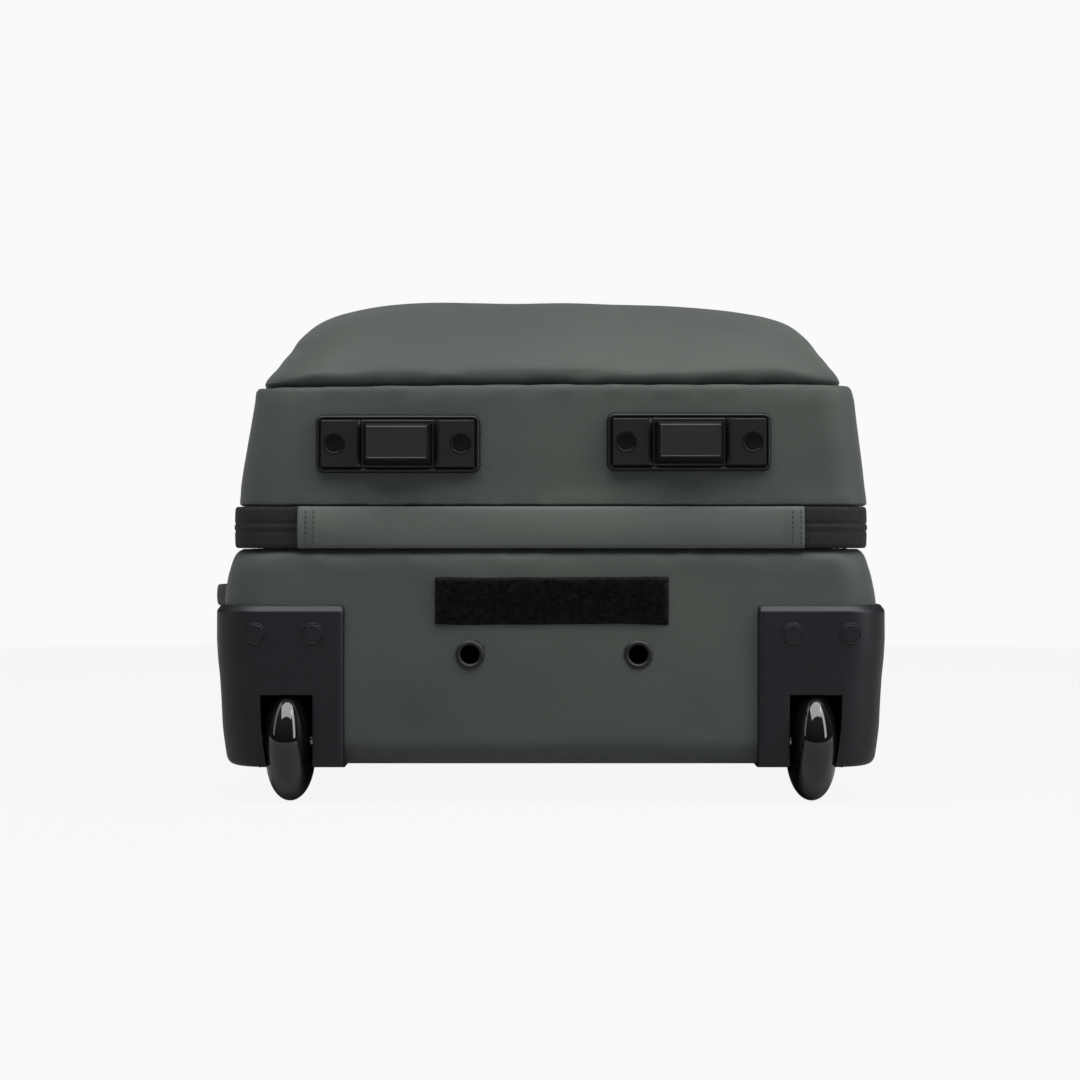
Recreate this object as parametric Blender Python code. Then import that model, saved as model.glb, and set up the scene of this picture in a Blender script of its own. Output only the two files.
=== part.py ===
"""Wheeled cabin backpack, lying on its back as it rests on a floor.

+Z is the bag's front, -Y its wheeled base end and +Y its top end. Everything is drawn in the bag's own frame, where
x = 0 is its mirror plane, y = 0 its base panel and z = 0 the floor, and hangs from one empty that puts the origin at
the middle of the floor area that the whole bag covers. Lengths are in metres.
"""

import math

import bmesh
import bpy
from mathutils import Matrix, Vector

# Fabric body
BODY_LENGTH = 0.515  # base panel to top panel
HALF_WIDTH = 0.175  # fabric alone, at its widest
WHEEL_DROP = 0.0205  # how far the wheels reach below the back panel
BACK_DEPTH = 0.1137
BAND_DEPTH = 0.0222
MAIN_DEPTH = 0.0623
POCKET_DEPTH = 0.0515
END_ROUNDING = 0.010  # how far an end panel draws back at its edges
POCKET_SLOPE = 0.066  # how far the pocket's base end draws back at its front
BASE_CORNER = 0.022
TOP_CORNER = 0.045
WALL = 0.0025
GAP = 0.0003  # between pieces that touch
BASE_GUSSET_HALF = 0.133  # fabric stretch of the band, between the two ends of the zip

# Wheels and their corner housings
WHEEL_RADIUS = 0.032
TREAD_WIDTH = 0.0242
TREAD_ROUNDING = 0.020  # depth of the half ellipse that the tread's section follows
CORE_RADIUS = 0.0175
CORE_WIDTH = 0.019
AXLE_RADIUS = 0.003
WHEEL_X = 0.1388
WHEEL_STANDOFF = 0.0135  # how far wheels and feet stand out of the base panel
WHEEL_CLEARANCE = 0.002
WELL_WIDTH = 0.0275
WELL_WALL = 0.002
HOUSING_INNER_X = 0.1085
HOUSING_HEIGHT = 0.0853  # above the back panel
HOUSING_REACH = 0.062  # along the bag
HOUSING_PROUD = 0.0032
RIVET_RADIUS = 0.0057
RIVET_HEIGHT = 0.0008
RIVET_SPACING = 0.0302
RIVET_DROP = 0.0148  # below the housing's upper edge

# Stand feet
FOOT_LEFT_SHARE = -0.4600  # middle of the foot, of HALF_WIDTH
FOOT_RIGHT_SHARE = 0.4126
FOOT_LENGTH = 0.0865
FOOT_WIDTH = 0.0304
FOOT_PLATE = 0.003
FOOT_PAD = 0.0025
FOOT_BORDER = 0.0028
FOOT_CORNER = 0.0045
FOOT_Z_SHARE = 0.52  # of the main section's depth
FOOT_BLOCK_BASE = (0.0436, 0.0226)
FOOT_BLOCK_FACE = (0.0300, 0.0152)
FOOT_RAMP_HEIGHT = 0.30  # of the block's rise, where its hollow ramps bend
FOOT_RAMP_SHARES = (0.45, 0.70)  # how far the block has widened there, along and across
FOOT_RIVET_SPACING = 0.0662
FOOT_RIVET_RADIUS = 0.0051
FOOT_RIVET_HEIGHT = 0.0016

# Base panel trim
PATCH_LENGTH = 0.122
PATCH_WIDTH = 0.0247
PATCH_THICKNESS = 0.0016
PATCH_Z_SHARE = 0.759  # of the back section's depth
EYELET_SPACING = 0.0885
EYELET_Z_SHARE = 0.512
EYELET_RADIUS = 0.0081
EYELET_BORE = 0.0053
EYELET_BARREL = 0.0063
EYELET_FLANGE = 0.0012

# Pull handle
TUBE_X = 0.050
TUBE_Z = 0.0215  # tube centre above the back panel
TUBE_WALL = 0.0012
TUBE_PLAY = 0.0005
OUTER_TUBE = (0.022, 0.015)
TUBE_FOOT_LENGTH = 0.026
TUBE_FOOT_MARGIN = 0.003
CUP_HALF_LENGTH = 0.080
CUP_LOW = 0.0065  # lower edge of the cup above the back panel
CUP_HEIGHT = 0.053
CUP_DEPTH = 0.036
CUP_WALL = 0.002
CUP_RIM = 0.006
CUP_RIM_THICKNESS = 0.002
GRIP_HALF_LENGTH = 0.068
GRIP_HEIGHT = 0.022
GRIP_DEPTH = 0.0165
GRIP_PROUD = 0.0005
BUTTON_SIZE = (0.028, 0.010)
BUTTON_DEPTH = 0.0045
BUTTON_PROUD = 0.0008
BUTTON_POCKET = 0.009
MIDDLE_TUBE_PROUD = 0.003
MIDDLE_TUBE_LOW = 0.014  # above the foot of the outer tube
INNER_TUBE_LOW = 0.022

# Back pad, shoulder straps and carrying handles
PAD_HALF_WIDTH = 0.118
PAD_LOW_Y = 0.150
PAD_HIGH_Y = 0.468
PAD_THICKNESS = 0.008
STRAP_LOW_Y = 0.225
STRAP_FLAT_Y = 0.448
STRAP_TOP_Y = 0.492
STRAP_TOP_X = 0.060
STRAP_LOW_X = 0.078
STRAP_WIDTH = 0.060
STRAP_END_WIDTH = 0.034
WEBBING_WIDTH = 0.025
WEBBING_THICKNESS = 0.0016
WEBBING_END_Y = 0.082
WEBBING_END_X = 0.090
WEBBING_SEWN = 0.018  # length that lies flat on the back panel
ADJUSTER_LENGTH = 0.026
ADJUSTER_WIDTH = 0.034
ADJUSTER_THICKNESS = 0.005
GRAB_HALF_LENGTH = 0.085
GRAB_ARCH = 0.022
GRAB_THICKNESS = 0.004
GRAB_WIDTH = 0.030
GRAB_Z_SHARE = 0.48  # of the main section's depth
SIDE_HALF_LENGTH = 0.080
SIDE_MIDDLE_Y = 0.215
SIDE_ARCH = 0.0290
SIDE_THICKNESS = 0.004
SIDE_GRIP_WIDTH = 0.013
SIDE_END_WIDTH = 0.025
SIDE_Z_SHARE = 0.741

# Zips
SLIDER_SIZE = (0.009, 0.0042, 0.010)
SLIDER_X = 0.013
PULL_SIZE = (0.006, 0.002, 0.032)
FRONT_ZIP_Y_SHARE = 0.77
FRONT_ZIP_HALF = 0.080
FRONT_ZIP_WIDTH = 0.010
FRONT_ZIP_THICKNESS = 0.0012
FRONT_SLIDER_X = 0.050

# Sections of the fabric body, one row for each, from the back to the front.
# Columns: height as a share of the piece's depth, half width as a share of HALF_WIDTH, how far both ends draw back as
# a share of END_ROUNDING.
BACK_SECTIONS = (
    (0.000, 0.9490, 1.00),
    (0.025, 0.9770, 0.45),
    (0.070, 0.9910, 0.12),
    (0.136, 0.9980, 0.00),
    (0.567, 1.0000, 0.00),
    (0.752, 0.9955, 0.00),
    (0.831, 0.9880, 0.00),
    (0.906, 0.9770, 0.00),
    (0.960, 0.9670, 0.08),
    (1.000, 0.9480, 0.40),
)
BAND_SECTIONS = (
    (0.00, 0.9480, 0.40),
    (0.18, 0.9600, 0.08),
    (0.50, 0.9640, 0.00),
    (0.82, 0.9600, 0.08),
    (1.00, 0.9480, 0.40),
)
MAIN_SECTIONS = (
    (0.00, 0.9460, 0.40),
    (0.05, 0.9580, 0.08),
    (0.12, 0.9550, 0.00),
    (0.50, 0.9330, 0.00),
    (0.92, 0.9100, 0.00),
    (0.97, 0.9030, 0.12),
    (1.00, 0.8900, 0.40),
)
# The pocket's ends slope, so its last two columns are shares of POCKET_SLOPE and of TOP_CORNER.
POCKET_SECTIONS = (
    (0.000, 0.8760, 0.053, 0.55),
    (0.062, 0.8800, 0.023, 0.60),
    (0.236, 0.8500, 0.091, 0.69),
    (0.410, 0.8255, 0.190, 0.77),
    (0.585, 0.7935, 0.318, 0.83),
    (0.740, 0.7540, 0.470, 0.87),
    (0.838, 0.7050, 0.583, 0.96),
    (0.915, 0.6450, 0.697, 1.16),
    (0.967, 0.5810, 0.818, 1.29),
    (1.000, 0.5170, 1.000, 1.28),
)
CORNER_STEPS = 4
ROUND_STEPS = 32

# Places that follow from the sizes
BACK_Z = WHEEL_DROP
BAND_Z = BACK_Z + BACK_DEPTH + GAP
MAIN_Z = BAND_Z + BAND_DEPTH + GAP
POCKET_Z = MAIN_Z + MAIN_DEPTH + GAP
AXLE_Y = WHEEL_RADIUS - WHEEL_STANDOFF
AXLE_Z = WHEEL_RADIUS
STRAP_THICKNESS = WHEEL_DROP - PAD_THICKNESS - 2 * GAP
CUP_FLOOR_Y = BODY_LENGTH - CUP_DEPTH
TUBE_CENTRE_Z = BACK_Z + TUBE_Z
OUTER_TUBE_LOW_Y = WALL + 2 * GAP + TUBE_FOOT_LENGTH
GRIP_LOW_Y = BODY_LENGTH + GRIP_PROUD - GRIP_DEPTH
SIDE_REACH = HALF_WIDTH + GAP + SIDE_THICKNESS + SIDE_ARCH
GRAB_REACH = BODY_LENGTH + GAP + GRAB_THICKNESS + GRAB_ARCH

MATERIALS = {
    # name: sRGB colour, roughness, metallic
    "coated_fabric": ((0.30, 0.32, 0.30), 0.62, 0.0),
    "black_plastic": ((0.15, 0.155, 0.17), 0.42, 0.0),
    "black_webbing": ((0.09, 0.09, 0.095), 0.80, 0.0),
    "loop_pile": ((0.05, 0.052, 0.05), 0.95, 0.0),
    "gloss_tread": ((0.06, 0.062, 0.066), 0.12, 0.0),
    "gloss_plastic": ((0.07, 0.07, 0.075), 0.15, 0.0),
    "black_metal": ((0.12, 0.12, 0.125), 0.30, 1.0),
    "steel": ((0.78, 0.78, 0.79), 0.22, 1.0),
    "aluminium": ((0.62, 0.63, 0.65), 0.28, 1.0),
    "air_mesh": ((0.11, 0.112, 0.118), 0.90, 0.0),
}


def linear(channel):
    """The linear value of one sRGB channel."""
    return channel / 12.92 if channel <= 0.04045 else ((channel + 0.055) / 1.055) ** 2.4


def make_materials():
    made = {}
    for name, (colour, roughness, metallic) in MATERIALS.items():
        made[name] = bpy.data.materials.new(name)
        made[name].use_nodes = True
        shader = made[name].node_tree.nodes["Principled BSDF"]
        shader.inputs["Base Color"].default_value = (*map(linear, colour), 1.0)
        shader.inputs["Roughness"].default_value = roughness
        shader.inputs["Metallic"].default_value = metallic
    return made


# Building helpers


def outwards(mesh):
    """Turns every face of a closed or nearly closed mesh to the outside."""
    bmesh.ops.recalc_face_normals(mesh, faces=mesh.faces)
    middle = sum((v.co for v in mesh.verts), Vector()) / len(mesh.verts)
    away = sum(f.normal.dot(f.calc_center_median() - middle) * f.calc_area() for f in mesh.faces)
    if away < 0:
        bmesh.ops.reverse_faces(mesh, faces=mesh.faces)
    return mesh


def add(name, mesh, material, place=(0, 0, 0), smooth=30):
    """Makes the object of a bmesh, hung from the bag's empty."""
    data = bpy.data.meshes.new(name)
    mesh.to_mesh(data)
    mesh.free()
    obj = bpy.data.objects.new(name, data)
    bpy.context.scene.collection.objects.link(obj)
    obj.parent = BAG
    obj.location = place
    if material:
        data.materials.append(PAINT[material])
    data.shade_smooth()
    data.set_sharp_from_angle(angle=math.radians(smooth))
    return obj


def add_cutter(name, mesh):
    """A helper shape for a Boolean, which isn't part of the object."""
    obj = add(name, mesh, None)
    obj.hide_render = True
    obj.display_type = "WIRE"
    return obj


def boolean(obj, other, operation):
    modifier = obj.modifiers.new(f"{operation.lower()} {other.name}", "BOOLEAN")
    modifier.operation = operation
    modifier.object = other
    modifier.solver = "EXACT"


def solidify(obj, thickness):
    """Gives an open shell its wall, on the inside of its faces."""
    modifier = obj.modifiers.new("wall", "SOLIDIFY")
    modifier.thickness = thickness
    modifier.offset = -1
    modifier.use_even_offset = True
    modifier.use_quality_normals = True


def loft(sections, cap_low=True, cap_high=True):
    """A skin through rings of points that all have the same count, with flat caps where asked."""
    mesh = bmesh.new()
    rings = []
    for points in sections:
        verts = [mesh.verts.new(p) for p in points]
        rings.append([mesh.edges.new(pair) for pair in zip(verts, verts[1:] + verts[:1])])
    for low, high in zip(rings, rings[1:]):
        bmesh.ops.bridge_loops(mesh, edges=low + high)
    for wanted, ring in ((cap_low, rings[0]), (cap_high, rings[-1])):
        if wanted:
            bmesh.ops.contextual_create(mesh, geom=ring)
    return outwards(mesh)


def box(low, high):
    """A block between two corners."""
    mesh = bmesh.new()
    low, high = Vector(low), Vector(high)
    size = Matrix.Diagonal((*(high - low), 1))
    bmesh.ops.create_cube(mesh, size=1, matrix=Matrix.Translation((low + high) / 2) @ size)
    return mesh


def rounded_box(low, high, radius, steps=2):
    """A block between two corners, with every edge rounded."""
    mesh = box(low, high)
    bmesh.ops.bevel(mesh, geom=mesh.edges[:], offset=radius, segments=steps, profile=0.5, affect="EDGES")
    return mesh


def cylinder(radius, low, high, axis, centre, steps=ROUND_STEPS):
    """A cylinder along X or Y from low to high, through centre in the other two directions."""
    mesh = bmesh.new()
    bmesh.ops.create_cone(mesh, cap_ends=True, segments=steps, radius1=radius, radius2=radius, depth=high - low)
    turn = {"X": Matrix.Rotation(math.pi / 2, 4, "Y"), "Y": Matrix.Rotation(-math.pi / 2, 4, "X")}[axis]
    middle = Vector(centre)
    middle["XY".index(axis)] = (low + high) / 2
    mesh.transform(Matrix.Translation(middle) @ turn)
    return mesh


def turned(profile, axis, steps=ROUND_STEPS):
    """A solid of revolution: profile is a closed ring of (distance along the axis, radius)."""
    mesh = bmesh.new()
    verts = [mesh.verts.new((0, along, radius)) for along, radius in profile]
    edges = [mesh.edges.new(pair) for pair in zip(verts, verts[1:] + verts[:1])]
    bmesh.ops.spin(
        mesh, geom=verts + edges, cent=(0, 0, 0), axis=(0, 1, 0), angle=2 * math.pi, steps=steps, use_merge=True
    )
    bmesh.ops.remove_doubles(mesh, verts=mesh.verts, dist=1e-6)
    bmesh.ops.recalc_face_normals(mesh, faces=mesh.faces)
    if axis == "X":
        mesh.transform(Matrix.Rotation(-math.pi / 2, 4, "Z"))
    return mesh


def ribbon(points, across, widths, thickness):
    """A flat strap along points, its width along across and its thickness towards the strap's left."""
    across = Vector(across).normalized()
    points = [Vector(p) for p in points]
    sections = []
    for i, point in enumerate(points):
        along = (points[min(i + 1, len(points) - 1)] - points[max(i - 1, 0)]).normalized()
        out = along.cross(across).normalized() * thickness
        side = across * widths[i] / 2
        sections.append([point - side, point + side, point + side + out, point - side + out])
    return loft(sections)


def shifted(mesh, by):
    """The same shape moved to its place, for shapes that are joined by a Boolean."""
    mesh.transform(Matrix.Translation(by))
    return mesh


def mirrored(mesh):
    """The same shape on the other side of the mirror plane."""
    mesh.transform(Matrix.Diagonal((-1, 1, 1, 1)))
    bmesh.ops.reverse_faces(mesh, faces=mesh.faces)
    return mesh


def sided(mesh, side):
    return mesh if side > 0 else mirrored(mesh)


SIDES = (("left", -1), ("right", 1))


# Fabric body


def corner(middle, radius, start):
    """A quarter circle from the start angle on, in degrees."""
    turns = [math.radians(start + 90 * i / CORNER_STEPS) for i in range(CORNER_STEPS + 1)]
    return [(middle[0] + radius * math.cos(a), middle[1] + radius * math.sin(a)) for a in turns]


def outline(half_width, low, high, base_corner, top_corner):
    """The bag seen from the front: a rectangle with rounded corners, as (x, y), anticlockwise."""
    x_low, x_high = half_width - base_corner, half_width - top_corner
    y_low, y_high = low + base_corner, high - top_corner
    return (
        corner((x_low, y_low), base_corner, -90)
        + corner((x_high, y_high), top_corner, 0)
        + corner((-x_high, y_high), top_corner, 90)
        + corner((-x_low, y_low), base_corner, 180)
    )


def body_rings(table, low_z, depth, grow=0.0):
    """The rings of one stretch of the straight-ended body. Grow makes it larger on all sides but its front."""
    rings = []
    for height, width, back in table:
        z = low_z - grow + height * (depth + grow)
        draw = END_ROUNDING * back - grow
        points = outline(
            HALF_WIDTH * width + grow, draw, BODY_LENGTH - draw, BASE_CORNER + grow, TOP_CORNER + grow
        )
        rings.append([(x, y, z) for x, y in points])
    return rings


def pocket_rings():
    rings = []
    for height, width, back, round_share in POCKET_SECTIONS:
        z = POCKET_Z + height * POCKET_DEPTH
        draw = POCKET_SLOPE * back
        round_off = TOP_CORNER * round_share
        points = outline(HALF_WIDTH * width, draw, BODY_LENGTH - draw, round_off, round_off)
        rings.append([(x, y, z) for x, y in points])
    return rings


def back_form(grow):
    """The back section as one solid block, for cutting what wraps around it."""
    return loft(body_rings(BACK_SECTIONS, BACK_Z, BACK_DEPTH, grow))


def well_box(side, grow):
    """The wheel well's outside, which passes through the shell's corner."""
    half = WELL_WIDTH / 2 + WELL_WALL + grow
    high_y = AXLE_Y + WHEEL_RADIUS + WHEEL_CLEARANCE + WELL_WALL + grow
    high_z = AXLE_Z + WHEEL_RADIUS + WHEEL_CLEARANCE + WELL_WALL + grow
    return sided(box((WHEEL_X - half, -WALL - grow, 0), (WHEEL_X + half, high_y, high_z)), side)


def make_back_shell():
    """A tray of coated fabric that holds the pull handle, cut for the wheel wells, the eyelets and the handle's cup."""
    shell = add("back_shell", loft(body_rings(BACK_SECTIONS, BACK_Z, BACK_DEPTH), cap_high=False), "coated_fabric")
    solidify(shell, WALL)
    for name, side in SIDES:
        boolean(shell, add_cutter(f"cut_well_{name}", well_box(side, GAP)), "DIFFERENCE")
        centre = (side * EYELET_SPACING / 2, 0, eyelet_z())
        hole = cylinder(EYELET_BARREL + GAP, -WALL, 2 * WALL, "Y", centre)
        boolean(shell, add_cutter(f"cut_eyelet_{name}", hole), "DIFFERENCE")
    low, high = cup_outside()
    cup_hole = box(low - Vector((GAP, 0, GAP)), high + Vector((GAP, END_ROUNDING, GAP)))
    boolean(shell, add_cutter("cut_cup", cup_hole), "DIFFERENCE")


def make_band():
    """The strip between back and main section: fabric along the base, zip tape round the sides and the top."""
    reach = BASE_GUSSET_HALF
    far_y = BASE_CORNER
    low_z, high_z = BAND_Z - WALL, BAND_Z + BAND_DEPTH + WALL
    rings = body_rings(BAND_SECTIONS, BAND_Z, BAND_DEPTH)
    gusset = add("base_gusset", loft(rings, cap_low=False, cap_high=False), "coated_fabric")
    solidify(gusset, WALL)
    keep = add_cutter("keep_base_gusset", box((-reach, -WALL, low_z), (reach, far_y, high_z)))
    boolean(gusset, keep, "INTERSECT")
    tape = add("zip_band", loft(rings, cap_low=False, cap_high=False), "black_webbing")
    solidify(tape, WALL)
    reach += GAP
    away = add_cutter("cut_zip_band", box((-reach, -WALL, low_z), (reach, far_y, high_z)))
    boolean(tape, away, "DIFFERENCE")


def make_main_body():
    """The main section, a tray of coated fabric that is open towards the back and closed by its front panel."""
    rings = body_rings(MAIN_SECTIONS, MAIN_Z, MAIN_DEPTH)
    solidify(add("main_body", loft(rings, cap_low=False), "coated_fabric"), WALL)


def make_front_pocket():
    """The domed front pocket, a shell that is closed behind by the main section's front panel."""
    solidify(add("front_pocket", loft(pocket_rings(), cap_low=False), "coated_fabric"), WALL)


# Base panel trim


def eyelet_z():
    return BACK_Z + EYELET_Z_SHARE * BACK_DEPTH


def make_patch():
    """The strip of loop fastener on the base panel."""
    z = BACK_Z + PATCH_Z_SHARE * BACK_DEPTH
    low = (-PATCH_LENGTH / 2, -GAP - PATCH_THICKNESS, z - PATCH_WIDTH / 2)
    add("loop_patch", box(low, (PATCH_LENGTH / 2, -GAP, z + PATCH_WIDTH / 2)), "loop_pile")


def make_eyelets():
    """Pressed metal rings whose barrels pass through the base panel."""
    crown = EYELET_FLANGE * 0.5
    profile = (
        (WALL + GAP, EYELET_BORE),
        (WALL + GAP, EYELET_BARREL),
        (-GAP, EYELET_BARREL),
        (-GAP, EYELET_RADIUS),
        (-GAP - crown, EYELET_RADIUS),
        (-GAP - EYELET_FLANGE, (EYELET_RADIUS + EYELET_BORE) / 2),
        (-GAP - crown, EYELET_BORE),
    )
    for name, side in SIDES:
        place = (side * EYELET_SPACING / 2, 0, eyelet_z())
        add(f"eyelet_{name}", turned(profile, "Y", 16), "black_metal", place)


def make_feet():
    """Moulded feet that the bag stands on, each a plate, a pad and a raised block, held by two rivets."""
    z = MAIN_Z + FOOT_Z_SHARE * MAIN_DEPTH
    plate_y = -GAP - FOOT_PLATE
    pad_y = plate_y - FOOT_PAD
    pad = (FOOT_LENGTH - 2 * FOOT_BORDER, FOOT_WIDTH - 2 * FOOT_BORDER)
    # The ramps at the block's ends are hollow, its long sides are straight
    bend = [
        face + (base - face) * share
        for face, base, share in zip(FOOT_BLOCK_FACE, FOOT_BLOCK_BASE, FOOT_RAMP_SHARES)
    ]
    block_rise = WHEEL_STANDOFF + pad_y
    parts = {
        # y, (length, width), corner radius
        "plate": ((-GAP, (FOOT_LENGTH, FOOT_WIDTH), FOOT_CORNER), (plate_y, (FOOT_LENGTH, FOOT_WIDTH), FOOT_CORNER)),
        "pad": ((plate_y + FOOT_PLATE / 2, pad, FOOT_CORNER / 2), (pad_y, pad, FOOT_CORNER / 2)),
        "block": (
            (pad_y + FOOT_PAD / 2, FOOT_BLOCK_BASE, FOOT_CORNER / 4),
            (pad_y, FOOT_BLOCK_BASE, FOOT_CORNER / 4),
            (pad_y - FOOT_RAMP_HEIGHT * block_rise, bend, FOOT_CORNER / 4),
            (-WHEEL_STANDOFF, FOOT_BLOCK_FACE, FOOT_CORNER / 4),
        ),
    }
    for name, share in (("left", FOOT_LEFT_SHARE), ("right", FOOT_RIGHT_SHARE)):
        foot_x = share * HALF_WIDTH
        foot = None
        for part, steps in parts.items():
            mesh = loft(
                [(x, y, w) for x, w in outline(length / 2, -width / 2, width / 2, radius, radius)]
                for y, (length, width), radius in steps
            )
            if foot:
                boolean(foot, add_cutter(f"join_{part}_{name}", shifted(mesh, (foot_x, 0, z))), "UNION")
            else:
                foot = add(f"stand_foot_{name}", shifted(mesh, (foot_x, 0, z)), "black_plastic")
        for i, along in enumerate((-1, 1)):
            x = foot_x + along * FOOT_RIVET_SPACING / 2
            head = domed_head(FOOT_RIVET_RADIUS, FOOT_RIVET_HEIGHT / 2, FOOT_RIVET_HEIGHT / 2)
            add(f"foot_rivet_{name}_{i}", head, "gloss_plastic", (x, pad_y - GAP, z))


def domed_head(radius, rim, rise):
    """A rivet head that stands out of y = 0 towards the base: a short rim and a low dome."""
    steps = 2
    dome = [
        (-rim - rise * math.sin(math.pi / 2 * i / steps), radius * math.cos(math.pi / 2 * i / steps))
        for i in range(steps)
    ]
    mesh = bmesh.new()
    points = [(0.0, radius)] + dome
    verts = [mesh.verts.new((0, y, r)) for y, r in points]
    edges = [mesh.edges.new(pair) for pair in zip(verts, verts[1:])]
    bmesh.ops.spin(
        mesh, geom=verts + edges, cent=(0, 0, 0), axis=(0, 1, 0), angle=2 * math.pi, steps=12, use_merge=True
    )
    bmesh.ops.remove_doubles(mesh, verts=mesh.verts, dist=1e-6)
    bmesh.ops.holes_fill(mesh, edges=mesh.edges)
    return outwards(mesh)


# Wheels


def make_housings():
    """Moulded corners that wrap base, side and back, with a well for the wheel and holes for its axle."""
    top_z = BACK_Z + HOUSING_HEIGHT
    slot_half = WELL_WIDTH / 2
    far_x = HALF_WIDTH + 4 * HOUSING_PROUD
    below = BACK_Z - 4 * HOUSING_PROUD
    proud_y = -HOUSING_PROUD - GAP
    for name, side in SIDES:
        housing = add(f"wheel_housing_{name}", back_form(HOUSING_PROUD), "black_plastic")
        region = box((HOUSING_INNER_X, 2 * proud_y, below), (far_x, HOUSING_REACH, top_z))
        boolean(housing, add_cutter(f"keep_housing_{name}", sided(region, side)), "INTERSECT")
        boolean(housing, add_cutter(f"cut_bag_form_{name}", back_form(GAP)), "DIFFERENCE")
        well = well_box(side, 0)
        trim = bmesh.ops.bisect_plane(
            well,
            geom=well.verts[:] + well.edges[:] + well.faces[:],
            plane_co=(0, 0, BACK_Z - HOUSING_PROUD / 2),
            plane_no=(0, 0, -1),
            clear_outer=True,
        )
        bmesh.ops.contextual_create(well, geom=[e for e in trim["geom_cut"] if isinstance(e, bmesh.types.BMEdge)])
        boolean(housing, add_cutter(f"join_well_{name}", outwards(well)), "UNION")
        reach = WHEEL_RADIUS + WHEEL_CLEARANCE
        inner_x, outer_x = WHEEL_X - slot_half, WHEEL_X + slot_half
        arch_cut = cylinder(reach, inner_x, outer_x, "X", (0, AXLE_Y, AXLE_Z), 32)
        boolean(housing, add_cutter(f"cut_wheel_arch_{name}", sided(arch_cut, side)), "DIFFERENCE")
        room = box((inner_x, 3 * proud_y - WHEEL_CLEARANCE, below), (outer_x, AXLE_Y + reach, AXLE_Z))
        boolean(housing, add_cutter(f"cut_wheel_room_{name}", sided(room, side)), "DIFFERENCE")
        ends = slot_half + WELL_WALL + GAP
        hole = cylinder(AXLE_RADIUS + GAP, WHEEL_X - ends, WHEEL_X + ends, "X", (0, AXLE_Y, AXLE_Z), 16)
        boolean(housing, add_cutter(f"cut_axle_{name}", sided(hole, side)), "DIFFERENCE")
        middle_x = (HOUSING_INNER_X + HALF_WIDTH) / 2
        for i, along in enumerate((-0.5, 0.5)):
            x = side * (middle_x + along * RIVET_SPACING)
            head = domed_head(RIVET_RADIUS, RIVET_HEIGHT / 2, RIVET_HEIGHT / 2)
            place = (x, -HOUSING_PROUD - GAP, top_z - RIVET_DROP)
            add(f"housing_rivet_{name}_{i}", head, "black_plastic", place)


def tread_profile():
    """The tread's section across the wheel: a half ellipse cut off at the core, as an in-line skate wheel has."""
    steps = 8
    low = math.asin(1 - (WHEEL_RADIUS - CORE_RADIUS) / TREAD_ROUNDING)
    turns = [low + (math.pi - 2 * low) * i / steps for i in range(steps + 1)]
    middle = WHEEL_RADIUS - TREAD_ROUNDING
    return [(-TREAD_WIDTH / 2 * math.cos(t), middle + TREAD_ROUNDING * math.sin(t)) for t in turns]


def make_wheels():
    """Each wheel is a cast tread on a moulded core, turning on a steel axle that its housing holds."""
    bore = AXLE_RADIUS + GAP
    rim = CORE_RADIUS - GAP
    half = CORE_WIDTH / 2
    dish = CORE_WIDTH * 0.15
    core_profile = [
        (-half, bore),
        (-half, bore * 2.2),
        (-half + dish, bore * 2.4),
        (-half + dish, rim * 0.86),
        (-half, rim * 0.9),
        (-half, rim),
    ]
    core_profile += [(-along, radius) for along, radius in reversed(core_profile)]
    for name, side in SIDES:
        place = (side * WHEEL_X, AXLE_Y, AXLE_Z)
        add(f"tread_{name}", turned(tread_profile(), "X", 32), "gloss_tread", place)
        add(f"wheel_core_{name}", turned(core_profile, "X", 16), "black_plastic", place)
        reach = WELL_WIDTH / 2 + WELL_WALL
        add(f"axle_{name}", cylinder(AXLE_RADIUS, -reach, reach, "X", (0, 0, 0), 16), "steel", place)


# Pull handle


def cup_outside():
    low = Vector((-CUP_HALF_LENGTH, CUP_FLOOR_Y - CUP_WALL, BACK_Z + CUP_LOW))
    return low, Vector((CUP_HALF_LENGTH, BODY_LENGTH + GAP, BACK_Z + CUP_LOW + CUP_HEIGHT))


def make_tube(name, size, low_y, high_y, place):
    """An oblong tube along Y with open ends."""
    half_x, half_z = size[0] / 2, size[1] / 2
    radius = half_z * 0.6
    shape = outline(half_x, -half_z, half_z, radius, radius)
    rings = [[(x, y, z) for x, z in shape] for y in (low_y, high_y)]
    solidify(add(name, loft(rings, cap_low=False, cap_high=False), "aluminium", place), TUBE_WALL)


def nested(size):
    """The size of the tube that slides inside a tube of this size."""
    less = 2 * TUBE_WALL + 2 * TUBE_PLAY
    return (size[0] - less, size[1] - less)


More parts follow.
